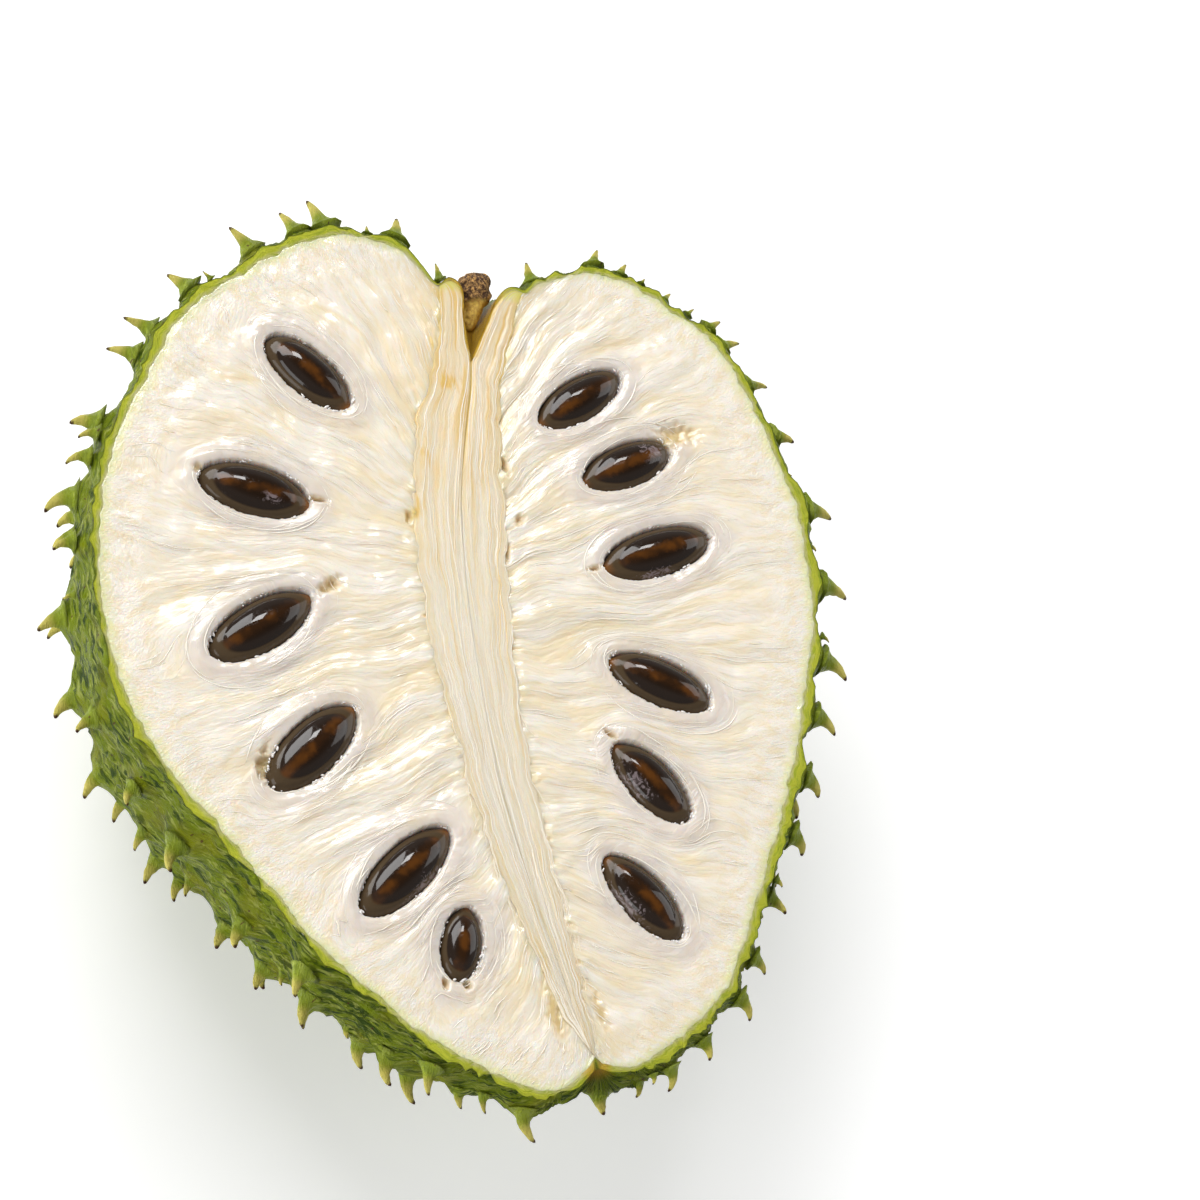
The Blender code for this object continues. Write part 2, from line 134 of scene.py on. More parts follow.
def skin_grid(rows, columns, inner=False):
    """Points [row][column] of the smooth skin in the face frame, before wrinkles and mounds."""
    left, right, back = lengthwise_curves(rows, inner)
    turn = np.linspace(0, math.pi, columns + 1)
    cos, sin = np.round(np.cos(turn), 9), np.round(np.sin(turn), 9)
    middle = (left[:, 0] + right[:, 0]) / 2
    grid = np.zeros((rows + 1, columns + 1, 3))
    for j in range(columns + 1):
        side = left if cos[j] > 0 else right
        reach = abs(cos[j])
        grid[:, j, 0] = middle + (side[:, 0] - middle) * reach * (1 + BELLY * (1 - reach**2))
        grid[:, j, 1] = side[:, 1] * reach**2 + back[:, 0] * (1 - reach**2)
        grid[:, j, 2] = back[:, 1] * sin[j]
    return grid


def noise(x, y, seed):
    """Smooth noise from about -1 to 1 over arrays of places, one cell to a unit."""
    x, y = np.broadcast_arrays(x, y)
    left, low = np.floor(x), np.floor(y)
    from_left, from_low = x - left, y - low
    ease_x = from_left**3 * (from_left * (from_left * 6 - 15) + 10)
    ease_y = from_low**3 * (from_low * (from_low * 6 - 15) + 10)
    total = np.zeros(x.shape)
    for i in (0, 1):
        for j in (0, 1):
            turn = np.sin((left + i) * 127.1 + (low + j) * 311.7 + seed * 74.7) * 43758.5453
            turn = (turn - np.floor(turn)) * 2 * math.pi
            slope = np.cos(turn) * (from_left - i) + np.sin(turn) * (from_low - j)
            total += slope * (ease_x if i else 1 - ease_x) * (ease_y if j else 1 - ease_y)
    return total * 1.5


def eased(value, low, high):
    """0 below low, 1 above high and a smooth rise between."""
    share = np.clip((value - low) / (high - low), 0, 1)
    return share * share * (3 - 2 * share)


DIPS = [  # (x, y, reach, depth) of the notches in the rim on both sides of the stalk pit
    (-4.0, 79.6, 1.7, 2.2), (11.8, 77.6, 1.6, 1.7),
]


def from_dips(x, y, reach_share=1.0):
    """1 in the middle of a dip of the rim, fading to 0 round it."""
    return sum(np.exp(-((x - a) ** 2 + (y - b) ** 2) / (reach_share * reach) ** 2)
               for a, b, reach, _ in DIPS)


def new_piece(name, vertices, faces, marks, material, slot, *nodes):
    """A smooth mesh in the face frame's millimetres that rides on the half and replaces CAD nodes.

    marks maps an attribute's name to one number, or one triple, for each vertex.
    """
    vertices = np.array(vertices, float)
    for x, y, reach, depth in DIPS:
        near = np.exp(-((vertices[:, 0] - x) ** 2 + (vertices[:, 1] - y) ** 2) / reach**2)
        vertices[:, 1] -= depth * near * np.clip(1 + vertices[:, 2] / 8, 0, 1)
    mesh = bpy.data.meshes.new(name)
    mesh.from_pydata((vertices * MM + face_origin).tolist(), [], faces)
    mesh.shade_smooth()
    for label, values in marks.items():
        values = np.asarray(values, np.float32)
        kind, key = ("FLOAT", "value") if values.ndim == 1 else ("FLOAT_VECTOR", "vector")
        mesh.attributes.new(label, kind, "POINT").data.foreach_set(key, values.ravel())
    mesh.materials.append(material)
    piece = bpy.data.objects.new(name, mesh)
    bpy.context.scene.collection.objects.link(piece)
    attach(piece, "root")
    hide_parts(*nodes)
    return piece


def grid_faces(index, turned=False):
    """Quads of a grid of vertex numbers, with triangles where a row or column runs into one point."""
    faces = []
    for row, below in zip(index[:-1].tolist(), index[1:].tolist()):
        for a, b, c, d in zip(row, below, below[1:], row[1:]):
            corners = [a, b, c, d]
            if a == d or b == c or a == b or c == d:
                corners = list(dict.fromkeys(corners))
            if len(corners) > 2:
                faces.append(corners[::-1] if turned else corners)
    return faces


def new_material(name):
    """A material with a Principled BSDF, and that shader."""
    material = bpy.data.materials.new(name)
    material.use_nodes = True
    return material, material.node_tree, material.node_tree.nodes["Principled BSDF"]


def add(tree, kind, sockets=(), **settings):
    """A node with its settings; sockets maps an input's name or number to a value or an output."""
    made = tree.nodes.new("ShaderNode" + kind)
    for key, value in settings.items():
        setattr(made, key, value)
    for key, value in dict(sockets).items():
        if isinstance(value, bpy.types.NodeSocket):
            tree.links.new(value, made.inputs[key])
        else:
            made.inputs[key].default_value = value
    return made


def blend(tree, share, first, second):
    """A colour between two colours or colour outputs."""
    sockets = {0: share}
    for key, colour in ((6, first), (7, second)):
        sockets[key] = colour if isinstance(colour, bpy.types.NodeSocket) else (*colour, 1)
    return add(tree, "Mix", sockets, data_type="RGBA").outputs[2]


def maths(tree, operation, first, second=0.0):
    """The result of one operation on one or two values."""
    return add(tree, "Math", {0: first, 1: second}, operation=operation).outputs[0]


def rising(tree, value, low, high, start=0.0, end=1.0):
    """A smooth rise of a value from start to end as it goes from low to high."""
    sockets = {"Value": value, "From Min": low, "From Max": high, "To Min": start, "To Max": end}
    return add(tree, "MapRange", sockets, interpolation_type="SMOOTHSTEP").outputs["Result"]


def mark(tree, name, output="Fac"):
    """A mark that the mesh carries at each vertex, by its name."""
    return add(tree, "Attribute", attribute_name=name).outputs[output]


def texture(tree, place, scale, **settings):
    """A grain over places given in millimetres, or over the object where the place is None."""
    sockets = {"Scale": scale, **settings}
    if place is not None:
        sockets["Vector"] = place
    return add(tree, "TexNoise", sockets).outputs["Fac"]


def strayed(tree, value, grain, reach):
    """A value that wanders by up to half a reach with a grain from 0 to 1."""
    return maths(tree, "ADD", value, maths(tree, "MULTIPLY", maths(tree, "SUBTRACT", grain, 0.5), reach))


def finish_with(tree, shader, constants, bump=None, **fed):
    """Sets a shader's constants, feeds its other sockets, and bumps it: (strength, distance, height)."""
    for label, value in constants.items():
        shader.inputs[label].default_value = value
    for label, output in fed.items():
        tree.links.new(output, shader.inputs[label.replace("_", " ")])
    if bump:
        made = add(tree, "Bump", dict(zip(("Strength", "Distance", "Height"), bump)))
        tree.links.new(made.outputs[0], shader.inputs["Normal"])


def new_group(name, inputs, outputs):
    """A shader node group with named sockets, its input node and its output node."""
    tree = bpy.data.node_groups.new(name, "ShaderNodeTree")
    for label, kind in inputs.items():
        tree.interface.new_socket(label, in_out="INPUT", socket_type="NodeSocket" + kind)
    for label, kind in outputs.items():
        tree.interface.new_socket(label, in_out="OUTPUT", socket_type="NodeSocket" + kind)
    return tree, tree.nodes.new("NodeGroupInput"), tree.nodes.new("NodeGroupOutput")


def use_group(tree, group, **sockets):
    return add(tree, "Group", {key.replace("_", " "): value for key, value in sockets.items()},
               node_tree=group)


def drawn_out(tree, given):
    """A group's Place over its Length along the first axis and its Width along the others."""
    length, width = given.outputs["Length"], given.outputs["Width"]
    cell = add(tree, "CombineXYZ", {0: length, 1: width, 2: width}).outputs[0]
    return add(tree, "VectorMath", {0: given.outputs["Place"], 1: cell}, operation="DIVIDE").outputs[0]


# Streaks of fibre, drawn out along the first axis of a place given in millimetres.
streaks, given, result = new_group(
    "fibre streaks", {"Place": "Vector", "Length": "Float", "Width": "Float"},
    {"Broad": "Float", "Fine": "Float"})
place = drawn_out(streaks, given)
broad = texture(streaks, place, 1.0, Detail=3.0, Roughness=0.6, Distortion=0.4)
fine = texture(streaks, place, 3.7, Detail=4.0, Roughness=0.65, Distortion=0.2)
streaks.links.new(broad, result.inputs["Broad"])
streaks.links.new(fine, result.inputs["Fine"])

# The pulp's own colour, from translucent white crests to creamy yellow between them.
FLESH_WHITE = (0.90, 0.835, 0.735)
FLESH_CREAM = (0.87, 0.74, 0.51)
FLESH_CREST = (0.95, 0.91, 0.86)
pulp_tone, given, result = new_group(
    "pulp tone", {"Place": "Vector", "Length": "Float", "Width": "Float"},
    {"Color": "Color", "Height": "Float", "Roughness": "Float"})
lines = use_group(pulp_tone, streaks, Place=given.outputs["Place"], Length=given.outputs["Length"],
                  Width=given.outputs["Width"])
cream = rising(pulp_tone, lines.outputs["Broad"], 0.42, 0.64, 0.0, 0.72)
tone = blend(pulp_tone, cream, FLESH_WHITE, FLESH_CREAM)
pale = rising(pulp_tone, lines.outputs["Fine"], 0.52, 0.75, 0.0, 0.3)
tone = blend(pulp_tone, pale, tone, FLESH_CREST)
height = texture(pulp_tone, drawn_out(pulp_tone, given), 5.0, Detail=1.0, Distortion=0.6)
gloss = rising(pulp_tone, lines.outputs["Fine"], 0.35, 0.65, 0.42, 0.26)
for output, label in ((tone, "Color"), (height, "Height"), (gloss, "Roughness")):
    pulp_tone.links.new(output, result.inputs[label])

# Spines stand in a row along each rim and in a staggered lattice elsewhere, as on the solid rind.
LEFT_SPINES = [  # (share of the way from pit to apex, mm down the skin from the left rim, size share)
    (0.072, 2.0, 0.45), (0.113, 2.5, 1.0), (0.13, 2.0, 0.35), (0.158, 3.0, 1.05), (0.177, 2.5, 0.9),
    (0.212, 2.5, 0.95), (0.25, 2.0, 0.3), (0.265, 3.0, 0.95), (0.305, 3.5, 0.8), (0.323, 5.0, 0.85),
    (0.365, 9.0, 0.5), (0.378, 6.0, 1.1), (0.392, 3.0, 0.6), (0.408, 4.0, 0.7), (0.42, 13.0, 1.1),
    (0.45, 12.0, 0.7), (0.462, 7.0, 0.7), (0.492, 19.0, 1.1), (0.495, 9.0, 0.35), (0.54, 24.0, 1.1),
    (0.575, 12.0, 0.75), (0.588, 28.0, 1.05), (0.627, 10.5, 0.7), (0.64, 24.0, 0.7), (0.672, 10.0, 0.95),
    (0.645, 33.0, 1.0), (0.667, 31.0, 0.8), (0.685, 22.0, 0.6), (0.713, 29.0, 1.0), (0.738, 12.5, 0.95),
    (0.755, 24.0, 1.0), (0.772, 18.0, 0.4), (0.797, 12.0, 0.95), (0.792, 22.0, 0.8), (0.825, 16.0, 0.5),
    (0.835, 18.5, 1.0), (0.86, 9.0, 1.0), (0.873, 14.0, 1.0), (0.907, 8.5, 0.7), (0.922, 5.0, 0.5),
    (0.948, 3.0, 0.9),
]
RIGHT_SPINES = [  # the same from the right rim
    (0.16, 2.5, 0.7), (0.182, 3.5, 0.65), (0.2, 2.0, 0.3), (0.223, 3.5, 0.5), (0.245, 2.5, 0.35),
    (0.265, 3.0, 0.65), (0.283, 4.0, 0.75), (0.32, 4.0, 0.75), (0.335, 5.0, 0.35), (0.367, 4.0, 0.95),
    (0.4, 5.0, 0.3), (0.435, 3.5, 1.05), (0.463, 5.0, 0.4), (0.5, 3.5, 1.05), (0.545, 3.0, 0.3),
    (0.562, 3.5, 1.0), (0.613, 3.5, 0.95), (0.665, 4.0, 1.0), (0.715, 4.0, 0.95), (0.757, 2.5, 0.4),
    (0.767, 5.0, 0.8), (0.823, 3.5, 0.75), (0.858, 3.0, 0.8), (0.902, 3.0, 0.7), (0.938, 2.5, 0.7),
    (0.955, 1.0, 0.35), (0.958, 4.5, 0.5), (0.97, 8.0, 0.9),
]
SPINE_PITCH = 12.4
LEAST_APART = 0.68  # of the pitch
SPINE_SEED = 11
FIRST_SPINE_ROW, LAST_SPINE_ROW = 0.125, 0.975
LEAST_SKIN_HEIGHT = 3.6  # closer to the table than this, the spines are pressed away


def spine_places():
    """Where each spine stands: a row along each rim, and a staggered lattice with scatter elsewhere.

    Gives (point, outward normal, direction to the apex, size share) for each spine.
    """
    scatter = random.Random(SPINE_SEED)
    fine_rows, fine_columns = 400, 180
    grid = skin_grid(fine_rows, fine_columns)
    steps = np.linalg.norm(np.diff(grid, axis=1), axis=2)
    girths = np.cumsum(np.column_stack([np.zeros(fine_rows + 1), steps]), axis=1)
    wanted = list(LEFT_SPINES)
    wanted += [(s, girths[round(s * fine_rows), -1] - down, size) for s, down, size in RIGHT_SPINES]
    rim_count = len(wanted)
    back_length = np.linalg.norm(np.diff(grid[:, fine_columns // 2], axis=0), axis=1).sum()
    span = LAST_SPINE_ROW - FIRST_SPINE_ROW
    row_count = round(span * back_length / (SPINE_PITCH * 0.87))
    for row in range(row_count + 1):
        s = FIRST_SPINE_ROW + span * row / row_count
        girth = girths[round(s * fine_rows), -1]
        count = max(2, round(girth / SPINE_PITCH))
        for k in range(count):
            place = (k + (0.28 if row % 2 else 0.72)) / count
            place = min(max(place + scatter.uniform(-0.16, 0.16) / count, 0.03), 0.97)
            s_here = min(s + scatter.uniform(-0.012, 0.012), LAST_SPINE_ROW)
            size = scatter.uniform(0.8, 1.12) * (0.62 + 0.38 * math.sin(math.pi * s_here) ** 0.5)
            wanted.append((s_here, place * girth, size))
    places = []
    for number, (s, reach, size) in enumerate(wanted):
        i = min(max(round(s * fine_rows), 1), fine_rows - 1)
        j = min(max(int(np.searchsorted(girths[i], reach)), 1), fine_columns - 1)
        point = grid[i, j]
        crowded = any(np.linalg.norm(point - other[0]) < SPINE_PITCH * LEAST_APART for other in places)
        if point[2] + face_height < LEAST_SKIN_HEIGHT or (crowded and number >= rim_count):
            continue
        down = grid[i + 1, j] - grid[i - 1, j]
        across = grid[i, j + 1] - grid[i, j - 1]
        normal = np.cross(across, down)
        places.append((point, normal / np.linalg.norm(normal), down / np.linalg.norm(down), size))
    return places


SKIN_LENGTH = 230.0  # pit to apex along the back, to which the wrinkles and the colours are laid out
SKIN_HALF_GIRTH = 92.0
MOUND_RADIUS = 7.2
MOUND_HEIGHT = 3.3
SKIN_PLUMP = 1.2  # how far the skin stands out between the mounds, away from the rim
spines = spine_places()
skin = skin_grid(SKIN_ROWS, SKIN_COLUMNS)
down = np.gradient(skin, axis=0)
across = np.gradient(skin, axis=1)
normals = np.cross(across, down)
normals /= np.maximum(np.linalg.norm(normals, axis=2, keepdims=True), 1e-9)
s_share = np.linspace(0, 1, SKIN_ROWS + 1)[:, None] * np.ones((1, SKIN_COLUMNS + 1))
length_place = s_share * SKIN_LENGTH
girth_place = np.linspace(-SKIN_HALF_GIRTH, SKIN_HALF_GIRTH, SKIN_COLUMNS + 1)[None, :]
girth_place = girth_place * np.sin(math.pi * np.clip(s_share, 0.03, 0.97)) ** 0.4

mound = np.zeros(s_share.shape)
nearness = np.zeros(s_share.shape)
flat_skin = skin.reshape(-1, 3)
for point, normal, to_apex, size in spines:
    apart = flat_skin - point
    lengthwise = apart @ to_apex
    gap = np.sqrt(np.maximum((apart**2).sum(axis=1) - 0.35 * lengthwise**2, 0)).reshape(mound.shape)
    share = np.clip(1 - gap / (MOUND_RADIUS * size), 0, 1)
    mound = np.maximum(mound, MOUND_HEIGHT * size * share**2.2)
    nearness = np.maximum(nearness, share)

drift = 1.8 * noise(girth_place / 9, length_place / 16, 1)
fold = 1 - np.abs(noise((girth_place + drift) / 3.0, length_place / 9, 2))
crease = 1 - np.abs(noise((girth_place + drift) / 1.4, length_place / 4, 3))
pimple = noise(girth_place / 0.9, length_place / 1.4, 4)
outside = eased(s_share, 0.07, 0.12) * eased(1 - s_share, 0.0, 0.03)
wrinkles = 1.1 * (fold**3 - 0.4) + 0.6 * (crease**2 - 0.5) + 0.14 * pimple
swell = 0.5 * noise(girth_place / 17, length_place / 21, 5)
plump = SKIN_PLUMP * eased(np.sin(np.linspace(0, math.pi, SKIN_COLUMNS + 1)), 0.0, 0.4)[None, :] - 0.8
skin_rise = outside * (plump + mound + wrinkles * (1 - 0.55 * nearness) + swell)
skin = skin + normals * skin_rise[:, :, None]
skin[:, :, 2] = np.clip(skin[:, :, 2], -face_height, 0)
skin[:, [0, -1], 2] = 0

left_inner, right_inner, _ = lengthwise_curves(SKIN_ROWS, inner=True)
wall = skin_grid(SKIN_ROWS, WALL_COLUMNS, inner=True)
wall[:, :, 2] = np.maximum(wall[:, :, 2], 4.0 - face_height)
vertices, marks = [], {"skin_place": [], "rise": [], "lip": [], "spine": [], "pit": []}


def add_points(points, place_x, place_y, rise, lip, spine, pit):
    """Adds vertices with their marks; each mark is an array or one number. Gives the first's number."""
    start = len(vertices)
    count = len(points)
    vertices.extend(np.asarray(points))
    marks["skin_place"].extend(np.stack(np.broadcast_arrays(place_x, place_y, np.zeros(count)), axis=1))
    for key, value in (("rise", rise), ("lip", lip), ("spine", spine), ("pit", pit)):
        marks[key].extend(np.broadcast_to(value, count))
    return start


def grid_index(start, rows, columns, pole_top, pole_bottom):
    """Vertex numbers of a grid whose first and last rows are a single vertex each."""
    index = start + np.arange((rows + 1) * (columns + 1)).reshape(rows + 1, columns + 1)
    index[0] = pole_top
    index[-1] = pole_bottom
    return index


pit_share = 1 - eased(s_share, 0.05, 0.085) + 0.8 * eased(s_share, 0.986, 0.996)
OFF_LIP = 9.0  # the lip mark of what is skin; on the lip it is the distance from the pulp
pit_pole = add_points([(*PIT_BOTTOM, 0)], 0, 0, 0, OFF_LIP, 0, 1)
apex_pole = add_points([(*APEX, 0)], 0, SKIN_LENGTH, 0, OFF_LIP, 0, 0)
start = add_points(skin.reshape(-1, 3), girth_place.ravel(), length_place.ravel(),
                   (mound / MOUND_HEIGHT).ravel(), OFF_LIP, 0.0, pit_share.ravel())
skin_index = grid_index(start, SKIN_ROWS, SKIN_COLUMNS, pit_pole, apex_pole)
faces = grid_faces(skin_index, turned=True)
inner_pit_pole = add_points([(*left_inner[0], 0)], 0, 0, 0, 0, 0, 1)
inner_apex_pole = add_points([(*left_inner[-1], 0)], 0, SKIN_LENGTH, 0, 0, 0, 0)
lip_share = np.linspace(0, 1, LIP_COLUMNS + 1)[1:] ** 1.5
for side, (inner, column) in enumerate(((left_inner, 0), (right_inner, -1))):
    outer = skin[:, column]
    inner = np.column_stack([inner, np.zeros(len(inner))])
    lip = outer[:, None] + (inner - outer)[:, None] * lip_share[None, :, None]
    widths = np.linalg.norm(inner - outer, axis=1)[:, None] * lip_share[None, :]
    lip[:, :-1, 2] += 0.06 * (1 + noise(length_place[:, :1] / 1.7, lip_share[None, :-1] * 3, 21 + side))
    lip[:, :-1, 2] -= 0.22 * np.exp(-widths[:, :-1] / 0.35)
    from_pulp = np.clip(np.linalg.norm(inner - outer, axis=1)[:, None] - widths, 0, 3)
    start = add_points(lip.reshape(-1, 3), (widths + 30 * side).ravel(),
                       (length_place[:, :1] + 0 * widths).ravel(), 0.0, from_pulp.ravel(), 0.0,
                       (pit_share[:, :1] + 0 * widths).ravel())
    index = start + np.arange((SKIN_ROWS + 1) * LIP_COLUMNS).reshape(SKIN_ROWS + 1, LIP_COLUMNS)
    index = np.column_stack([skin_index[:, column], index])
    index[0, 1:] = inner_pit_pole
    index[-1, 1:] = inner_apex_pole
    faces += grid_faces(index, turned=side == 1)
start = add_points(wall.reshape(-1, 3), 0.0, 0.0, 0.0, 0.0, 0.0, 0.0)
wall_index = grid_index(start, SKIN_ROWS, WALL_COLUMNS, inner_pit_pole, inner_apex_pole)
faces += grid_faces(wall_index)

# Each spine is a hooked horn on a flared foot that sinks into its mound.
SPINE_RINGS = [  # (share of the length, radius)
    (-0.18, 3.1), (-0.04, 2.1), (0.10, 1.55), (0.24, 1.20), (0.40, 0.96), (0.56, 0.77), (0.71, 0.59),
    (0.84, 0.43), (0.94, 0.27),
]
SPINE_SIDES = 10
SPINE_HORN = 5.0
spine_scatter = random.Random(5)
for point, normal, to_apex, size in spines:
    around = spine_scatter.uniform(-0.75, 0.75)
    side = np.cross(normal, to_apex)
    lean_way = to_apex * math.cos(around) + side * math.sin(around)
    cross_way = np.cross(normal, lean_way)
    length = SPINE_HORN * size * spine_scatter.uniform(0.75, 1.15)
    hook = spine_scatter.uniform(0.7, 1.4) * (1 - 0.75 * eased(point[1], 45, 75))
    foot = point + normal * (0.3 + MOUND_HEIGHT * size * 0.6)
    centre, before, rings = foot.copy(), 0.0, []
    for share, radius in SPINE_RINGS:
        bend = 0.1 + hook * max(share, 0) ** 1.3
        ahead = normal * math.cos(bend) + lean_way * math.sin(bend)
        centre = centre + ahead * (share - before) * length
        before = share
        out = lean_way * math.cos(bend) - normal * math.sin(bend)
        turns = np.arange(SPINE_SIDES) / SPINE_SIDES * 2 * math.pi
        wide = radius * size * (1 + 0.10 * np.sin(3 * turns + spine_scatter.uniform(0, 6)))
        rings.append(centre + np.outer(np.cos(turns) * wide, out) + np.outer(np.sin(turns) * wide, cross_way))
    tip = centre + ahead * 0.05 * length
    cone = np.vstack([*rings, [foot - normal * 0.3 * length], [tip]])
    cone[:, 2] = np.clip(cone[:, 2], 0.02 - face_height, -0.05)
    shares = np.repeat([share for share, _ in SPINE_RINGS], SPINE_SIDES)
    start = add_points(cone, point[0] + cone[:, 0], point[1] + cone[:, 1], 1.0, OFF_LIP,
                       np.clip([*shares, 0.0, 1.0], 0.02, 1), 0.0)
    bottom, tip_number = start + len(cone) - 2, start + len(cone) - 1
    for k in range(SPINE_SIDES):
        after = (k + 1) % SPINE_SIDES
        faces.append([bottom, start + after, start + k])
        for row in range(len(SPINE_RINGS) - 1):
            low = start + row * SPINE_SIDES
            faces.append([low + k, low + after, low + SPINE_SIDES + after, low + SPINE_SIDES + k])
        low = start + (len(SPINE_RINGS) - 1) * SPINE_SIDES
        faces.append([low + k, low + after, tip_number])

RIND_DEEP = (0.050, 0.098, 0.003)
RIND_GREEN = (0.28, 0.37, 0.009)
RIND_VEIN = (0.62, 0.68, 0.14)
RIND_MOTTLE = (0.38, 0.38, 0.012)
RIND_LIME = (0.76, 0.80, 0.06)
LIP_GREEN = (0.40, 0.54, 0.03)
LIP_PALE = (0.82, 0.79, 0.36)
SPINE_GREEN = (0.40, 0.46, 0.030)
SPINE_STRAW = (0.88, 0.77, 0.17)
SPINE_TIP = (0.085, 0.030, 0.012)
PIT_AMBER = (0.95, 0.58, 0.06)
PIT_BROWN = (0.66, 0.34, 0.035)
MOUND_OLIVE = (0.40, 0.50, 0.045)
SPECK_BROWN = (0.12, 0.035, 0.012)
rind_finish, tree, shader = new_material("rind_finish")
skin_place = mark(tree, "skin_place", "Vector")
turned = add(tree, "SeparateXYZ", {0: skin_place})
lengthwise = add(tree, "CombineXYZ", {0: turned.outputs[1], 1: turned.outputs[0]}).outputs[0]
lines = use_group(tree, streaks, Place=lengthwise, Length=4.5, Width=1.3)
veins = use_group(tree, streaks, Place=lengthwise, Length=3.0, Width=0.6)
patches = texture(tree, skin_place, 0.11, Detail=4.0)
tone = blend(tree, rising(tree, lines.outputs["Broad"], 0.38, 0.55), RIND_DEEP, RIND_GREEN)
tone = blend(tree, rising(tree, veins.outputs["Broad"], 0.53, 0.64, 0.0, 0.75), tone, RIND_VEIN)
tone = blend(tree, rising(tree, patches, 0.5, 0.68, 0.0, 0.55), tone, RIND_MOTTLE)
tone = blend(tree, rising(tree, mark(tree, "rise"), 0.2, 0.9, 0.0, 0.6), tone, MOUND_OLIVE)
specks = texture(tree, skin_place, 0.85, Detail=1.0)
tone = blend(tree, rising(tree, specks, 0.70, 0.74, 0.0, 0.8), tone, SPECK_BROWN)
wander = strayed(tree, mark(tree, "spine"), lines.outputs["Fine"], 0.25)
tone = blend(tree, rising(tree, wander, 0.02, 0.35), tone, SPINE_GREEN)
tone = blend(tree, rising(tree, wander, 0.18, 0.58), tone, SPINE_STRAW)
tone = blend(tree, rising(tree, wander, 0.80, 0.93), tone, SPINE_TIP)
pulp = use_group(tree, pulp_tone, Place=skin_place, Length=1.1, Width=0.8)
lip_mark = mark(tree, "lip")
fray = strayed(tree, lip_mark, veins.outputs["Broad"], 1.6)
lip_tone = blend(tree, rising(tree, fray, -0.2, 0.9), LIP_PALE, RIND_LIME)
lip_tone = blend(tree, rising(tree, veins.outputs["Broad"], 0.48, 0.66, 0.0, 0.55), lip_tone, LIP_GREEN)
lip_tone = blend(tree, rising(tree, fray, 1.6, 2.6, 0.0, 0.8), lip_tone, LIP_GREEN)
on_skin = rising(tree, lip_mark, 3.9, 4.1)
tone = blend(tree, on_skin, lip_tone, tone)
pit_tone = blend(tree, rising(tree, lines.outputs["Broad"], 0.45, 0.65), PIT_AMBER, PIT_BROWN)
tone = blend(tree, mark(tree, "pit"), tone, pit_tone)
skin_gloss = rising(tree, lines.outputs["Fine"], 0.3, 0.7, 0.50, 0.22)
roughness = add(tree, "Mix", {0: on_skin, 2: pulp.outputs["Roughness"], 3: skin_gloss}).outputs[0]
height = maths(tree, "ADD", maths(tree, "MULTIPLY", lines.outputs["Fine"], 0.7), veins.outputs["Fine"])
finish_with(tree, shader, {"Specular IOR Level": 0.2}, (1.0, 0.0011, height),
            Base_Color=tone, Roughness=roughness)
new_piece("rind_skin", vertices, faces, marks, rind_finish, "rind", "rind")

# ---- Flesh --------------------------------------------------------------------------------------
# The wet pulp, grown in one mass of long segments: fibres run from the core out to the rind, fan
# upwards near the stalk, slope to the apex below, and swirl round each seed in its own smooth sac.
# Each lobe of the cut face is one sheet of fine relief on a slab, over the bulk inside the rind.
SEEDS_LEFT = [  # (x, y of the centre, length, width, angle of its long axis from +X in degrees)
    (-29.5, 60.8, 17.8, 8.5, -46), (-41.8, 39.3, 18.8, 9.3, -17), (-43.9, 15.2, 20.3, 8.6, 29),
    (-38.1, -6.1, 19.9, 8.7, 40), (-25.9, -27.9, 20.8, 8.2, 39), (-18.4, -40.6, 12.4, 6.8, 72),
]
SEEDS_RIGHT = [
    (18.5, 55.1, 18.5, 7.6, 30), (25.0, 42.4, 18.0, 7.8, 20), (27.6, 26.0, 20.6, 8.6, 15),
    (23.7, 2.3, 18.6, 8.5, -28), (18.8, -15.4, 17.4, 8.6, -53), (13.8, -35.0, 17.9, 8.3, -54),
]
SEED_THICK = 5.6
SEED_SINK = 1.3
CORE_LEFT_EDGE = [
    (-3.6, 78.2), (-4.9, 69.0), (-8.0, 60.0), (-11.6, 51.4), (-14.2, 40.3), (-15.4, 27.5),
    (-15.7, 14.9), (-15.2, 6.1), (-13.6, -8.1), (-12.0, -20.2), (-10.2, -28.9), (-8.0, -37.4),
    (-5.5, -46.0), (-3.6, -52.7), (0.3, -61.2),
]
CORE_RIGHT_EDGE = [
    (11.4, 76.2), (8.8, 70.5), (6.2, 63.0), (3.6, 54.0), (1.7, 40.0), (0.4, 27.1), (-0.6, 18.0),
    (-1.3, 10.8), (-1.9, 0.1), (-2.0, -12.1), (-1.3, -22.6), (-0.7, -34.6), (0.2, -48.1),
    (0.9, -56.0), (0.9, -61.2),
]
LEFT_FIBRES = [  # (y on the core's edge, share of the way along the rim from the stalk to the apex)
    (78.2, 0.0), (62.0, 0.055), (50.0, 0.13), (40.0, 0.24), (31.0, 0.365), (22.0, 0.46),
    (12.0, 0.55), (0.0, 0.62), (-15.0, 0.715), (-30.0, 0.81), (-45.0, 0.905), (-61.2, 1.0),
]
RIGHT_FIBRES = [
    (76.2, 0.0), (60.0, 0.06), (48.0, 0.13), (38.0, 0.21), (28.0, 0.32), (18.0, 0.41), (8.0, 0.50),
    (-5.0, 0.585), (-20.0, 0.68), (-35.0, 0.785), (-48.0, 0.895), (-61.2, 1.0),
]
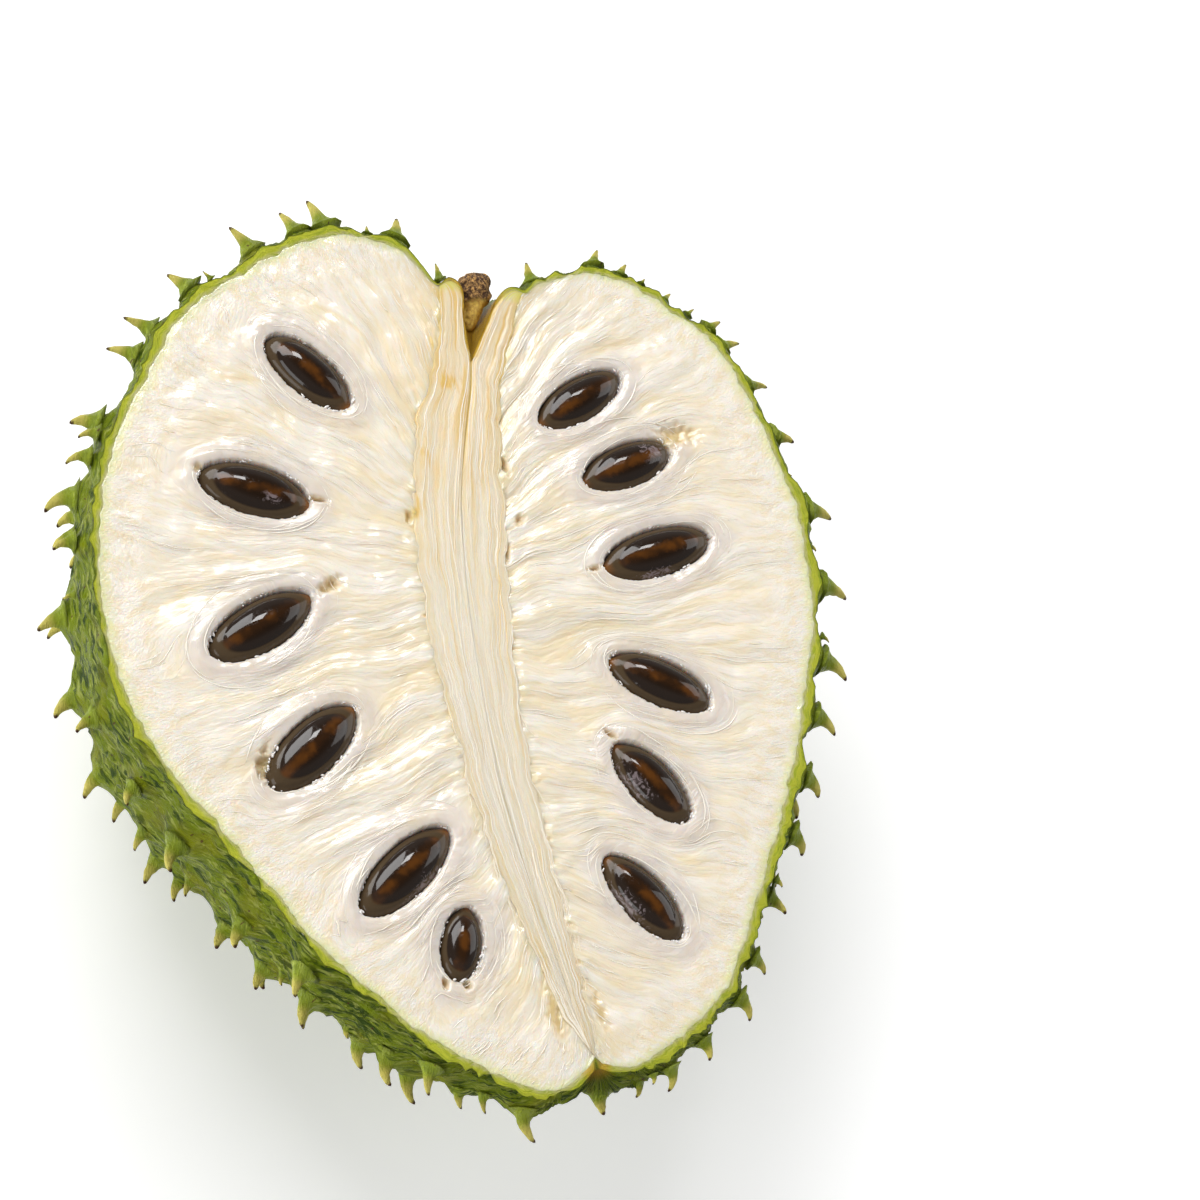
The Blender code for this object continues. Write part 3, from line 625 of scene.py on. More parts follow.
HOLLOWS = [  # (x, y, half length, half width, angle, depth): small cavities in the pulp, tinted a darker amber inside that is part stain, part painted shade
    (-31.4, 21.7, 3.0, 1.2, 30, 1.6), (-31.2, 37.3, 1.6, 0.6, -8, 1.6), (35.0, 47.9, 4.6, 2.4, 8, 1.2),
    (-46.6, -8.6, 3.6, 1.3, 76, 1.6), (-50.8, 43.4, 1.2, 1.0, 20, 0.8), (15.6, 23.4, 1.6, 0.6, 12, 1.4),
    (13.0, -6.6, 1.6, 0.6, -40, 1.0), (-22.2, -46.9, 1.0, 0.7, 80, 1.4), (-18.7, -47.3, 1.0, 0.8, 100, 1.4),
    (2.6, 42.3, 2.0, 0.6, 100, 1.6), (3.4, 32.6, 1.4, 1.0, 30, 1.2), (0.4, 26.5, 1.8, 0.5, 80, 1.4),
    (-4.9, -53.6, 5.2, 1.5, 96, 0.35), (2.8, -53.2, 4.2, 1.2, 104, 0.3), (-15.9, 33.6, 1.3, 0.8, 60, 0.9),
]
STAINS = [  # (x, y, reach across, reach lengthwise, strength) of the amber stains by the core's top
    (-5.4, 58.9, 1.9, 2.0, 1.4), (-2.5, 54.0, 1.3, 4.2, 1.3), (-3.9, 47.6, 1.4, 4.0, 0.8),
    (4.4, 60.0, 1.1, 2.8, 1.1), (3.0, 51.0, 0.9, 3.2, 0.9), (-6.9, 65.6, 1.0, 3.2, 1.2),
    (-11.5, 44.4, 1.3, 2.2, 1.1), (-13.8, 36.7, 1.2, 2.2, 1.0), (-15.3, 34.1, 1.2, 1.2, 1.2),
]
LOBE_ROWS = 700
LOBE_COLUMNS = 130
LOBE_LENGTH = 205.0  # stalk to apex across the fibres, to which the pulp's relief is laid out
EDGE_STEPS = 900  # of the core's edges
SLAB_DEPTH = 7.0
PULP_STRANDS = 340  # in each lobe
ARCS_TO_A_SEED = 16


def unit_axes(angle):
    """Unit vectors in the cut face along an angle in degrees and a quarter turn on."""
    cos, sin = math.cos(math.radians(angle)), math.sin(math.radians(angle))
    return np.array([cos, sin, 0]), np.array([-sin, cos, 0])


def from_seed(x, y, seed):
    """Along and across a seed's axis, and its radius share (1 on its outline), for arrays of places."""
    centre_x, centre_y, length, width, angle = seed
    cos, sin, _ = unit_axes(angle)[0]
    along = (x - centre_x) * cos + (y - centre_y) * sin
    aside = -(x - centre_x) * sin + (y - centre_y) * cos
    share = np.hypot(along / (length / 2), aside / (width / 2))
    return along, aside, share


def outline_gap(along, aside, share):
    """Distance outside a seed's outline, negative inside it."""
    return np.hypot(along, aside) * (1 - 1 / np.maximum(share, 0.05))


def ragged_core_edge(points, count, side):
    """The edge between the core and a lobe of pulp, with its small irregular curls."""
    line = curve_through(points, count)
    y = line[:, 1]
    calm = eased(y, -61, -50) * (1 - eased(y, 68, 76))
    line[:, 0] += calm * (0.7 * noise(y / 5.5, 0, side) + 0.35 * noise(y / 1.9, 3, side))
    return line


def lobe_grid(edge, rim, fibres):
    """Points [row][column] along the fibres of one lobe, core to rim, stalk to apex; and the rows' shares."""
    steps = np.linspace(0, 1, LOBE_ROWS + 1)
    # Rows follow the mean of the two sides, so that neither is starved of them.
    pairs = np.array(fibres)
    edge_share = np.interp(-pairs[:, 0], -edge[:, 1], np.linspace(0, 1, len(edge)))
    mean = (edge_share + pairs[:, 1]) / 2
    ends = []
    for line, shares in ((edge, edge_share), (rim, pairs[:, 1])):
        share = np.interp(steps, mean, shares)
        share = np.concatenate([-share[40:0:-1], share, 2 - share[-2:-42:-1]])
        share = np.convolve(share, np.ones(41) / 41, "same")[40:-40]
        share[[0, -1]] = (0, 1)
        along = np.concatenate([[0], np.cumsum(np.linalg.norm(np.diff(line, axis=0), axis=1))])
        ends.append(np.stack([np.interp(share * along[-1], along, line[:, k]) for k in (0, 1)], axis=1))
    start, end = ends
    span = end - start
    reach = np.linalg.norm(span, axis=1, keepdims=True)
    # A fibre leaves the core slantwise, on the way that it is going to slope, and levels out.
    slope = np.clip(span[:, 1:] / np.maximum(reach, 1e-6), -1, 1)
    first = start + span * 0.28 + np.array([0, 1]) * slope * reach * 0.12
    second = start + span * 0.68 + np.array([0, 1]) * slope * reach * 0.08
    u = np.linspace(0, 1, LOBE_COLUMNS + 1)[None, :, None]
    grid = ((1 - u) ** 3 * start[:, None] + 3 * (1 - u) ** 2 * u * first[:, None]
            + 3 * (1 - u) * u**2 * second[:, None] + u**3 * end[:, None])
    return grid, steps


def slab_faces(index, start, turned):
    """Faces that close a sheet of vertex numbers with sides and a bottom; gives the sheet's ring too."""
    ring = np.concatenate([index[:, 0], index[-1, 1:-1], index[::-1, -1], index[0, -2:0:-1]])
    count = len(ring)
    faces = []
    for k in range(count):
        after = (k + 1) % count
        side_face = [int(ring[k]), int(ring[after]), start + after, start + k]
        faces.append(side_face if turned else side_face[::-1])
    bottom = list(range(start, start + count))
    faces.append(bottom if turned else bottom[::-1])
    return ring, faces


SAC_MILKY = (0.70, 0.62, 0.565)
FLESH_YELLOW = (0.84, 0.68, 0.38)
FLESH_AMBER = (0.87, 0.57, 0.13)
# The cavities' darker amber is partly stain and partly painted shade in the dents.
HOLLOW_AMBER_AND_SHADE = (0.70, 0.50, 0.18)
flesh_finish, tree, shader = new_material("flesh_finish")
fibre_place = mark(tree, "fibre_place", "Vector")
pulp = use_group(tree, pulp_tone, Place=fibre_place, Length=15.0, Width=4.6)
soft = use_group(tree, pulp_tone, Place=fibre_place, Length=3.0, Width=1.8)
rim_mark = mark(tree, "to_rim")
tone = blend(tree, rising(tree, rim_mark, 4.0, 14.0), soft.outputs["Color"], pulp.outputs["Color"])
tone = blend(tree, maths(tree, "MULTIPLY", mark(tree, "sac"), 0.75), tone, SAC_MILKY)
green_reach = strayed(tree, rim_mark, texture(tree, fibre_place, 0.9, Detail=3.0), 3.0)
tone = blend(tree, rising(tree, green_reach, 2.4, -0.6, 0.0, 0.9), tone, LIP_PALE)
for label, colour in (("yellow", FLESH_YELLOW), ("amber", FLESH_AMBER), ("hollow_stain_and_shade", HOLLOW_AMBER_AND_SHADE)):
    tone = blend(tree, mark(tree, label), tone, colour)
heights = {2: soft.outputs["Height"], 3: pulp.outputs["Height"]}
height = add(tree, "Mix", {0: rising(tree, rim_mark, 3.0, 12.0), **heights}).outputs[0]
finish_with(
    tree, shader,
    {"Subsurface Weight": 0.65, "Subsurface Radius": (1.0, 0.75, 0.5), "Subsurface Scale": 0.0022,
     "Specular IOR Level": 0.5, "Coat Weight": 0.8, "Coat Roughness": 0.14},
    (0.7, 0.0003, height), Base_Color=tone, Roughness=pulp.outputs["Roughness"])


def stained(x, y):
    """Strength of the amber stains at places on the cut face, broken up along the fibres."""
    total = sum(strength * np.exp(-((x - a) / wide) ** 2 - ((y - b) / long) ** 2)
                for a, b, wide, long, strength in STAINS)
    return np.clip(total * (0.65 + 0.9 * noise(x / 0.55, y / 3, 501)), 0, 0.9)


def relief(x, y, along, across, from_core, to_rim, seeds, seed_number):
    """Height of the pulp over the cut face and its colour marks, at places given three ways."""
    across = across.copy()
    sac, collar, inside, swirl = (np.zeros(x.shape) for _ in range(4))
    pocket = np.full(x.shape, 99.0)
    for number, seed in enumerate(seeds):
        lengthwise, aside, share = from_seed(x, y, seed)
        if seed[4] and aside.shape:
            # Fibres part round the seed as a stream does round a stone.
            radius = seed[3] / 2 + 1.6
            round_share = (lengthwise / (seed[2] / seed[3])) ** 2 + aside**2
            shift = -aside * np.minimum(radius**2 / np.maximum(round_share, radius**2 * 0.6), 1)
            across -= shift * np.exp(-np.maximum(np.sqrt(round_share) - radius, 0) / 6)
        gap = outline_gap(lengthwise, aside, share)
        ragged = (gap + 0.22 * noise(x / 1.3, y / 1.3, 30 + number)
                  + 0.12 * noise(x / 0.5, y / 0.5, 60 + number))
        pocket = np.minimum(pocket, ragged)
        collar = np.maximum(collar, np.exp(-((ragged - 2.0) / 1.5) ** 2))
        sac = np.maximum(sac, 1 - eased(gap + 1.6 * noise(x / 3.2, y / 3.2, 90 + number), 0.5, 6.5))
        turn = np.arctan2(aside / seed[3], lengthwise / seed[2])
        strands = noise(gap / 0.95 + 1.5 * np.cos(turn), 2.0 * np.sin(turn), 120 + number)
        swirl += 0.10 * strands * np.exp(-((gap - 2.6) / 1.8) ** 2)
        under = SEED_SINK + SEED_THICK / 2 * np.sqrt(np.clip(1 - share**2, 0, 1)) + 0.3
        inside = np.where(share < 1.02, np.maximum(inside, under), inside)
    drift = 2.6 * noise(x / 15, y / 15, seed_number + 11) + 0.5 * noise(x / 6, y / 6, seed_number + 12)
    across += drift * eased(from_core, 0.5, 6)
    calm = 1 - 0.7 * sac
    middle = eased(to_rim, 3, 14)
    tufts = 0.35 + 0.65 * eased(noise(x / 8, y / 8, seed_number + 9), -0.4, 0.5)
    segments = noise(across / 7.5, along / 34, seed_number)
    creases = np.exp(-(noise(across / 6.5 + 9, along / 26, seed_number + 1) / 0.10) ** 2)
    bundles = noise(across / 2.7, along / 12, seed_number + 2)
    fibres = 1 - np.abs(noise(across / 1.3, along / 6, seed_number + 3)) * 2
    threads = noise(across / 0.6, along / 3, seed_number + 4)
    lumps = noise(x / 4.5, y / 4.5, seed_number + 13)
    clots = noise(x / 1.9, y / 1.9, seed_number + 5)
    drops = noise(x / 0.7, y / 0.7, seed_number + 10)
    height = (0.50 * segments - 0.12 * creases * calm * tufts + 0.12 * bundles * calm
              + 0.045 * fibres * calm * tufts + 0.018 * threads * tufts) * (0.3 + 0.7 * middle)
    height += 0.14 * lumps * (1 - 0.6 * sac) + 0.04 * clots + 0.018 * drops
    height += 0.30 * collar + swirl
    yellow = 0.5 * creases * calm * middle * eased(noise(x / 14, y / 14, seed_number + 8), -0.4, 0.5)
    yellow = np.maximum(yellow, 0.4 * eased(-segments, 0.1, 0.8) * calm * middle)
    near_core = np.exp(-from_core / 11) * eased(noise(x / 9, y / 5, seed_number + 14), -0.3, 0.5)
    yellow = np.maximum(yellow, (0.38 + 0.25 * eased(-y, 25, 50)) * near_core * calm)
    # Each cavity is sunk and tinted a darker amber towards its middle: part stain, part painted shade.
    hollow_stain_and_shade = np.zeros(x.shape)
    for place_x, place_y, length, width, angle, depth in HOLLOWS:
        lengthwise, aside, share = from_seed(x, y, (place_x, place_y, 2 * length, 2 * width, angle))
        share = share + 0.35 * noise(x / 1.1, y / 1.1, seed_number + 7)
        bowl = 1 - eased(share, 0.1, 1.25)
        height -= depth * bowl
        hollow_stain_and_shade = np.maximum(hollow_stain_and_shade, 0.8 * bowl)
    # The core's edge is a ragged valley with small pits, stained amber.
    valley = np.exp(-(from_core / 0.8) ** 2)
    curls = noise(y / 2.1, from_core / 2.5, seed_number + 6)
    height += 0.28 * curls * np.exp(-from_core / 2.5)
    pits = eased(curls, 0.45, 0.8) * np.exp(-from_core / 1.3) * (1 - eased(y, 62, 68))
    height -= 0.10 * valley + 0.5 * pits
    amber = np.clip(0.18 * valley + 0.5 * pits, 0, 1)
    by_pit = eased(y, 42, 76) * np.exp(-from_core / 6.0)
    amber = np.maximum(amber, 0.95 * by_pit * np.clip(0.8 + 0.8 * bundles, 0, 1))
    amber = np.maximum(np.maximum(amber, 0.6 * from_dips(x, y, 2.2)), 0.9 * stained(x, y))
    height *= eased(to_rim, 0.0, 1.2)
    height = np.clip(height, -2.5, 1.1)
    wall = eased(pocket, -0.25, 0.25)
    height = height * wall - (1 - wall) * 1.9
    height = np.where(inside > 0, np.minimum(height, -inside), height)
    marks = {"sac": sac, "yellow": yellow, "amber": amber, "hollow_stain_and_shade": hollow_stain_and_shade, "to_rim": to_rim}
    return height, marks, across, pocket


# Loose strands lie on the pulp and on the core, half sunk in them: they carry the wet glints.
STRAND_SIDES = 5
STRAND_FLATNESS = 0.55
STRAND_CREAM, STRAND_PALE = (0.93, 0.85, 0.71), (0.97, 0.92, 0.82)
STRAND_AMBER = (0.90, 0.64, 0.24)
strand_finish, tree, shader = new_material("strand_finish")
speck = texture(tree, None, 500.0, Detail=2.0)
tone = blend(tree, rising(tree, speck, 0.35, 0.65), STRAND_CREAM, STRAND_PALE)
tone = blend(tree, mark(tree, "amber"), tone, STRAND_AMBER)
finish_with(tree, shader, {"Roughness": 0.35, "Coat Weight": 1.0, "Coat Roughness": 0.09}, Base_Color=tone)


def tube_index(start, rings, around, tip=0):
    """Vertex numbers of rings that close on themselves and end in a single vertex at both ends.

    tip says which vertex of the last ring that is, 0 or -1.
    """
    index = start + np.arange(rings * around).reshape(rings, around)
    last = index[-1, tip]
    index = np.column_stack([index, index[:, 0]])
    index[0], index[-1] = index[0, 0], last
    return index


def add_strand(bundle, path, radius, amber):
    """Adds a tube that tapers to both ends; bundle holds vertices, faces and amber marks."""
    path = np.asarray(path)
    ahead = np.gradient(path, axis=0)
    ahead /= np.maximum(np.linalg.norm(ahead, axis=1, keepdims=True), 1e-9)
    aside = np.cross(ahead, (0, 0, 1))
    above = np.cross(aside, ahead)
    count = len(path)
    wide = (radius * np.sin(np.linspace(0, math.pi, count)) ** 0.6)[:, None, None]
    turns = np.arange(STRAND_SIDES) / STRAND_SIDES * 2 * math.pi
    rings = path[:, None] + wide * (aside[:, None] * np.cos(turns)[None, :, None]
                                    + STRAND_FLATNESS * above[:, None] * np.sin(turns)[None, :, None])
    bundle[1].extend(grid_faces(tube_index(len(bundle[0]), count, STRAND_SIDES)))
    bundle[0].extend(rings.reshape(-1, 3))
    bundle[2].extend([amber] * (count * STRAND_SIDES))


def pulp_strands(bundle, grid, height, across, pocket, seeds, strand_seed):
    """Strands along the fibres of a lobe, and arcs of strand wrapped round its seeds."""
    scatter = random.Random(strand_seed)
    made = 0
    while made < PULP_STRANDS:
        row = scatter.uniform(6, LOBE_ROWS - 6)
        first = int(LOBE_COLUMNS * scatter.random() ** 1.2 * 0.9)
        last = min(first + scatter.randint(6, 34), LOBE_COLUMNS - 4)
        radius = scatter.uniform(0.04, 0.14)
        wanted = across[int(row), first]
        path = []
        for column in range(first, last, 2):
            low = max(int(row) - 7, 0)
            near = across[low : low + 15, column]
            row += 0.6 * (low + np.abs(near - wanted).argmin() - row)
            i = min(max(int(row), 0), LOBE_ROWS - 1)
            share = row - i
            place = grid[i, column] * (1 - share) + grid[i + 1, column] * share
            if pocket[i, column] < 0.4:
                break
            path.append((*place, height[i, column]))
        if len(path) > 4:
            add_strand(bundle, path, radius, 0.35 * scatter.random() ** 4)
            made += 1
    finder = KDTree(grid.shape[0] * grid.shape[1])
    flat_height = height.ravel()
    for number, (x, y) in enumerate(grid.reshape(-1, 2).tolist()):
        finder.insert((x, y, 0), number)
    finder.balance()
    for x, y, length, width, angle in seeds:
        cos, sin, _ = unit_axes(angle)[0]
        for _ in range(ARCS_TO_A_SEED):
            begin = scatter.uniform(0, 2 * math.pi)
            reach = scatter.uniform(0.35, 1.5)
            out = 0.5 + 4.0 * scatter.random() ** 1.3
            drift = scatter.uniform(-1.2, 1.2)
            radius = scatter.uniform(0.05, 0.17)
            path = []
            for turn in np.linspace(begin, begin + reach, 14):
                away = out + drift * (turn - begin) / reach
                along, aside = math.cos(turn) * (length / 2 + away), math.sin(turn) * (width / 2 + away)
                place = (x + along * cos - aside * sin, y + along * sin + aside * cos)
                _, number, _ = finder.find((*place, 0))
                path.append((*place, flat_height[number]))
            path = np.array(path)
            path[:, 2] = np.convolve(np.pad(path[:, 2], 1, "edge"), np.ones(3) / 3, "valid")
            add_strand(bundle, path, radius, 0.0)


core_edges, rims, strands = {}, {}, ([], [], [])
for side, points, rim_curve, fibres, seeds, seed_number in (
    ("left", CORE_LEFT_EDGE, left_inner, LEFT_FIBRES, SEEDS_LEFT, 100),
    ("right", CORE_RIGHT_EDGE, right_inner, RIGHT_FIBRES, SEEDS_RIGHT, 200),
):
    first = np.argmin(np.linalg.norm(rim_curve[: SKIN_ROWS // 4] - np.array(points[0]), axis=1))
    rims[side] = first
    edge_points = [tuple(rim_curve[first]), *points[1:-1], tuple(rim_curve[-1])]
    core_edges[side] = ragged_core_edge(edge_points, EDGE_STEPS, seed_number)
    grid, steps = lobe_grid(core_edges[side], rim_curve[first:], fibres)
    x, y = grid[:, :, 0], grid[:, :, 1]
    lengths = np.cumsum(np.linalg.norm(np.diff(grid, axis=1, prepend=grid[:, :1]), axis=2), axis=1)
    across = steps[:, None] * LOBE_LENGTH + 0 * x
    to_rim = lengths[:, -1:] - lengths
    height, colour_marks, across, pocket = relief(x, y, lengths, across, lengths, to_rim, seeds, seed_number)
    pulp_strands(strands, grid, height, across, pocket, seeds, seed_number)
    top = np.dstack([x, y, height])
    # The sheet runs on a little under the lip and under the core.
    outwards = top[:, -1:] - top[:, -2:-1]
    outwards[:, :, 2] = 0
    reach = np.maximum(np.linalg.norm(outwards, axis=2, keepdims=True), 0.01)
    under_lip = top[:, -1:] + outwards / reach * 0.5
    under_lip[:, :, 2] = -0.3
    under_core = top[:, :1] - (top[:, 1:2] - top[:, :1]) * np.array([2.0, 2.0, 0]) - np.array([0, 0, 0.35])
    top = np.concatenate([under_core, top, under_lip], axis=1)
    points = top.reshape(-1, 3)
    index = np.arange(len(points)).reshape(top.shape[:2])
    turned = side == "left"
    ring, closing = slab_faces(index, len(points), turned)
    skirt = points[ring] + (np.array([*points[:, :2].mean(axis=0), 0]) - points[ring]) * 0.02
    skirt[:, 2] = -SLAB_DEPTH
    widened = [0, *range(LOBE_COLUMNS + 1), LOBE_COLUMNS]
    place = np.dstack([lengths, across, 0 * x])[:, widened].reshape(-1, 3)
    marks = {"fibre_place": np.vstack([place, place[ring]])}
    for key, value in colour_marks.items():
        value = value[:, widened].ravel()
        marks[key] = np.concatenate([value, value[ring]])
    new_piece(f"flesh_{side}_lobe", np.vstack([points, skirt]), grid_faces(index, turned) + closing,
              marks, flesh_finish, "flesh", "flesh")

new_piece("flesh_strands", strands[0], strands[1], {"amber": strands[2]}, strand_finish, "flesh", "flesh")

bulk = skin_grid(60, 30, inner=True)
bulk[:, :, 2] = np.clip(bulk[:, :, 2], 4.1 - face_height, 0.3 - SLAB_DEPTH)
bulk[:, :, :2] *= 0.985
points = bulk.reshape(-1, 3)
index = np.arange(len(points)).reshape(bulk.shape[:2])
lid = np.concatenate([index[:, 0], index[-1, 1:], index[-2::-1, -1], index[0, -2:0:-1]]).tolist()
marks = {"fibre_place": points, "to_rim": np.full(len(points), 9.0)}
faces = [*grid_faces(index, turned=True), lid]
new_piece("flesh_bulk", points, faces, marks, flesh_finish, "flesh", "flesh")

# ---- Core ---------------------------------------------------------------------------------------
# The stringy strand from stalk to apex that every fibre starts from: fine straw-coloured cords side
# by side, parted round the stalk pit and frayed at the apex.
CORE_ROWS = 620
CORE_COLUMNS = 60
CORE_CREAM, CORE_STRAW = (0.99, 0.86, 0.68), (0.98, 0.77, 0.47)
CORE_PALE, CORE_HONEY = (0.99, 0.94, 0.84), (0.90, 0.66, 0.32)
CORE_AMBER = (0.89, 0.57, 0.12)
core_finish, tree, shader = new_material("core_finish")
fibre_place = mark(tree, "fibre_place", "Vector")
cords = use_group(tree, streaks, Place=fibre_place, Length=16.0, Width=0.8)
hairs = use_group(tree, streaks, Place=fibre_place, Length=9.0, Width=0.28)
tone = blend(tree, rising(tree, cords.outputs["Broad"], 0.42, 0.68), CORE_CREAM, CORE_STRAW)
tone = blend(tree, rising(tree, hairs.outputs["Fine"], 0.48, 0.7, 0.0, 0.6), tone, CORE_PALE)
tone = blend(tree, rising(tree, hairs.outputs["Broad"], 0.60, 0.74, 0.0, 0.5), tone, CORE_HONEY)
tone = blend(tree, mark(tree, "amber"), tone, CORE_AMBER)
tone = blend(tree, mark(tree, "lime"), tone, RIND_LIME)
finish_with(
    tree, shader,
    {"Subsurface Weight": 0.4, "Subsurface Radius": (1.0, 0.7, 0.4), "Subsurface Scale": 0.0009,
     "Coat Weight": 0.8, "Coat Roughness": 0.2},
    (0.7, 0.0004, hairs.outputs["Fine"]),
    Base_Color=tone, Roughness=rising(tree, hairs.outputs["Fine"], 0.35, 0.65, 0.55, 0.32))

MIDLINE = [
    (PIT_BOTTOM[0], PIT_BOTTOM[1] - 0.6), (-1.2, 57.0), (-3.6, 48.0), (-5.9, 38.0), (-7.3, 27.0),
    (-8.1, 14.0), (-8.2, 2.0), (-7.7, -12.0), (-6.5, -23.0), (-4.6, -36.0), (-2.4, -48.0),
    (-0.6, -57.0), (0.6, -61.2),
]
CORE_DEPTH = 3.0
CORE_LENGTH, CORE_HALF_WIDTH = 150.0, 8.0  # to which its relief is laid out
CORE_STRANDS = 100  # on each side of its middle
strands, strand_scatter = ([], [], []), random.Random(21)
core_vertices, core_faces, core_marks = [], [], {"fibre_place": [], "amber": [], "lime": []}
for side, rim_curve in (("left", left_inner), ("right", right_inner)):
    edge_line = core_edges[side][np.linspace(0, EDGE_STEPS, CORE_ROWS + 1).round().astype(int)]
    # From the lobe's tip the inner side runs down the pit's wall, then along the middle of the core.
    wall_side = rim_curve[1 : rims[side] + 1][::-1]
    tip = np.argmax(wall_side[:, 1] - (0.0 if side == "left" else 1.0) * wall_side[:, 0])
    wall_side = wall_side[tip if side == "left" else 0 :: 4]
    middle_line = curve_through([*map(tuple, wall_side), *MIDLINE], CORE_ROWS)
    u = np.linspace(0, 1, CORE_COLUMNS // 2 + 1)[None, :, None]
    grid = edge_line[:, None] * (1 - u) + middle_line[:, None] * u
    x, y = grid[:, :, 0], grid[:, :, 1]
    lengths = np.linspace(0, CORE_LENGTH, CORE_ROWS + 1)[:, None] + 0 * x
    aside = np.linspace(0, CORE_HALF_WIDTH, CORE_COLUMNS // 2 + 1)[None, :] + 0 * x
    if side == "right":
        aside = 2 * CORE_HALF_WIDTH - aside
    wander = 0.9 * noise(aside / 5, lengths / 30, 301)
    height = (0.16 * noise((aside + wander) / 2.4, lengths / 45, 302)
              + 0.06 * (1 - 2 * np.abs(noise((aside + wander) / 0.9, lengths / 26, 303)))
              + 0.03 * noise((aside + wander) / 0.45, lengths / 14, 304))
    from_edge = np.linalg.norm(grid - edge_line[:, None], axis=2)
    from_middle = np.linalg.norm(grid - middle_line[:, None], axis=2)
    by_wall = np.exp(-((from_middle / 0.8) ** 2)) * eased(y, 62, 64)
    height = (height + 0.06) * eased(from_edge, 0, 1.6)
    height *= 1 - eased(y, 74, 78)
    groove = np.exp(-((from_middle / 0.7) ** 2)) * eased(y, 22, 56) * (1 - eased(y, 62, 64))
    height -= 0.25 * groove
    amber = np.clip(groove + 0.9 * by_wall, 0, 1)
    amber = np.maximum(amber, 0.75 * np.exp(-((from_edge / 1.2) ** 2)) * (0.3 + 0.7 * eased(y, 25, 65)))
    cord_stain = eased(noise(aside / 1.2, lengths / 12, 305), 0.0, 0.6)
    amber = np.maximum(amber, eased(y, 15, 66) * (0.24 + 0.58 * cord_stain))
    amber = np.maximum(np.maximum(amber, 0.6 * from_dips(x, y, 2.0)), stained(x, y))
    apex_stain = eased(noise(aside / 1.1, lengths / 14, 307), -0.2, 0.5)
    amber = np.maximum(amber, 0.5 * eased(-y, 18, 50) * apex_stain)
    for number in range(CORE_STRANDS):
        begin = strand_scatter.uniform(0.0, 0.93)
        rows = np.linspace(begin, min(begin + strand_scatter.uniform(0.05, 0.3), 0.99), 24)
        share = strand_scatter.random()
        stray = strand_scatter.uniform(0.2, 0.7) if share < 0.25 and begin > 0.5 else 0.0
        share = np.clip(share + 0.12 * noise(rows * 7, np.array(number + 0.5), 350), 0.02, 0.98)
        share = share - stray * np.linspace(0, 1, 24) ** 2
        i = rows * CORE_ROWS
        whole = i.astype(int)
        part = (i - whole)[:, None]
        edge_place = edge_line[whole] * (1 - part) + edge_line[whole + 1] * part
        middle_place = middle_line[whole] * (1 - part) + middle_line[whole + 1] * part
        place = edge_place * (1 - share[:, None]) + middle_place * share[:, None]
        radius = strand_scatter.uniform(0.04, 0.11)
        level = height[whole, np.clip(share * CORE_COLUMNS // 2, 0, CORE_COLUMNS // 2).astype(int)]
        level = np.convolve(np.pad(level, 2, "edge"), np.ones(5) / 5, "valid")
        level = level + radius * 0.1 + 0.08 * (share < 0)
        tint = strand_scatter.choice((0.0, 0.1, 0.2, 0.3, 0.45, 0.8)) * (0.5 if rows[0] > 0.3 else 1.0)
        add_strand(strands, np.column_stack([place, level]), radius, tint)
    start = len(core_vertices)
    points = np.dstack([x, y, height]).reshape(-1, 3)
    index = start + np.arange(x.size).reshape(x.shape)
    ring, closing = slab_faces(index, start + len(points), side == "right")
    bottom = points[ring - start]
    bottom[:, 2] = -CORE_DEPTH
    core_vertices.extend([*points, *bottom])
    place = np.dstack([lengths, aside, 0 * x]).reshape(-1, 3)
    core_marks["fibre_place"].extend([*place, *place[ring - start]])
    lime = 0.5 * eased(y + (0.0 if side == "left" else 2.2) + 0.5 * noise(x / 1.2, y / 1.2, 306), 75.6, 77.2)
    core_marks["lime"].extend([*lime.ravel(), *lime.ravel()[ring - start]])
    core_marks["amber"].extend([*amber.ravel(), *amber.ravel()[ring - start]])
    core_faces += grid_faces(index, turned=side == "right") + closing
new_piece("core_cords", strands[0], strands[1], {"amber": strands[2]}, strand_finish, "core", "core")
new_piece("core_strand", core_vertices, core_faces, core_marks, core_finish, "core", "core")

# ---- Seeds --------------------------------------------------------------------------------------
# Twelve hard, wet, glossy seeds, each loose in its sac: a dark dome on each face, a paler bevelled
# margin round it, and a small amber scar at the end that points to the core.
SEED_AROUND = 72
SEED_BLACK, SEED_BROWN, SEED_MARGIN = (0.014, 0.006, 0.002), (0.11, 0.036, 0.004), (0.070, 0.045, 0.022)
FILM_GREY, SCAR_AMBER = (0.30, 0.24, 0.25), (0.30, 0.11, 0.02)
seed_finish, tree, shader = new_material("seed_finish")
local = mark(tree, "seed_place", "Vector")
parts = add(tree, "SeparateXYZ", {0: local})
grain = texture(tree, local, 1.4, Detail=3.0)
cloud = texture(tree, mark(tree, "seed_spot", "Vector"), 0.3, Detail=1.5)
margin = rising(tree, mark(tree, "ring"), 0.72, 0.80)
middle = maths(tree, "ABSOLUTE", maths(tree, "ADD", parts.outputs[1], maths(tree, "SUBTRACT", grain, 0.5)))
streak = maths(tree, "MULTIPLY", rising(tree, middle, 1.5, 0.1), rising(tree, cloud, 0.40, 0.62, 0.15, 0.85))
tone = blend(tree, streak, SEED_BLACK, SEED_BROWN)
tone = blend(tree, margin, tone, SEED_MARGIN)
flecks = texture(tree, local, 0.8, Detail=2.0, Roughness=0.6, Distortion=1.5)
film = strayed(tree, mark(tree, "film"), flecks, 2.4)
tone = blend(tree, rising(tree, film, 0.62, 1.25, 0.0, 0.6), tone, FILM_GREY)
tone = blend(tree, mark(tree, "scar"), tone, SCAR_AMBER)
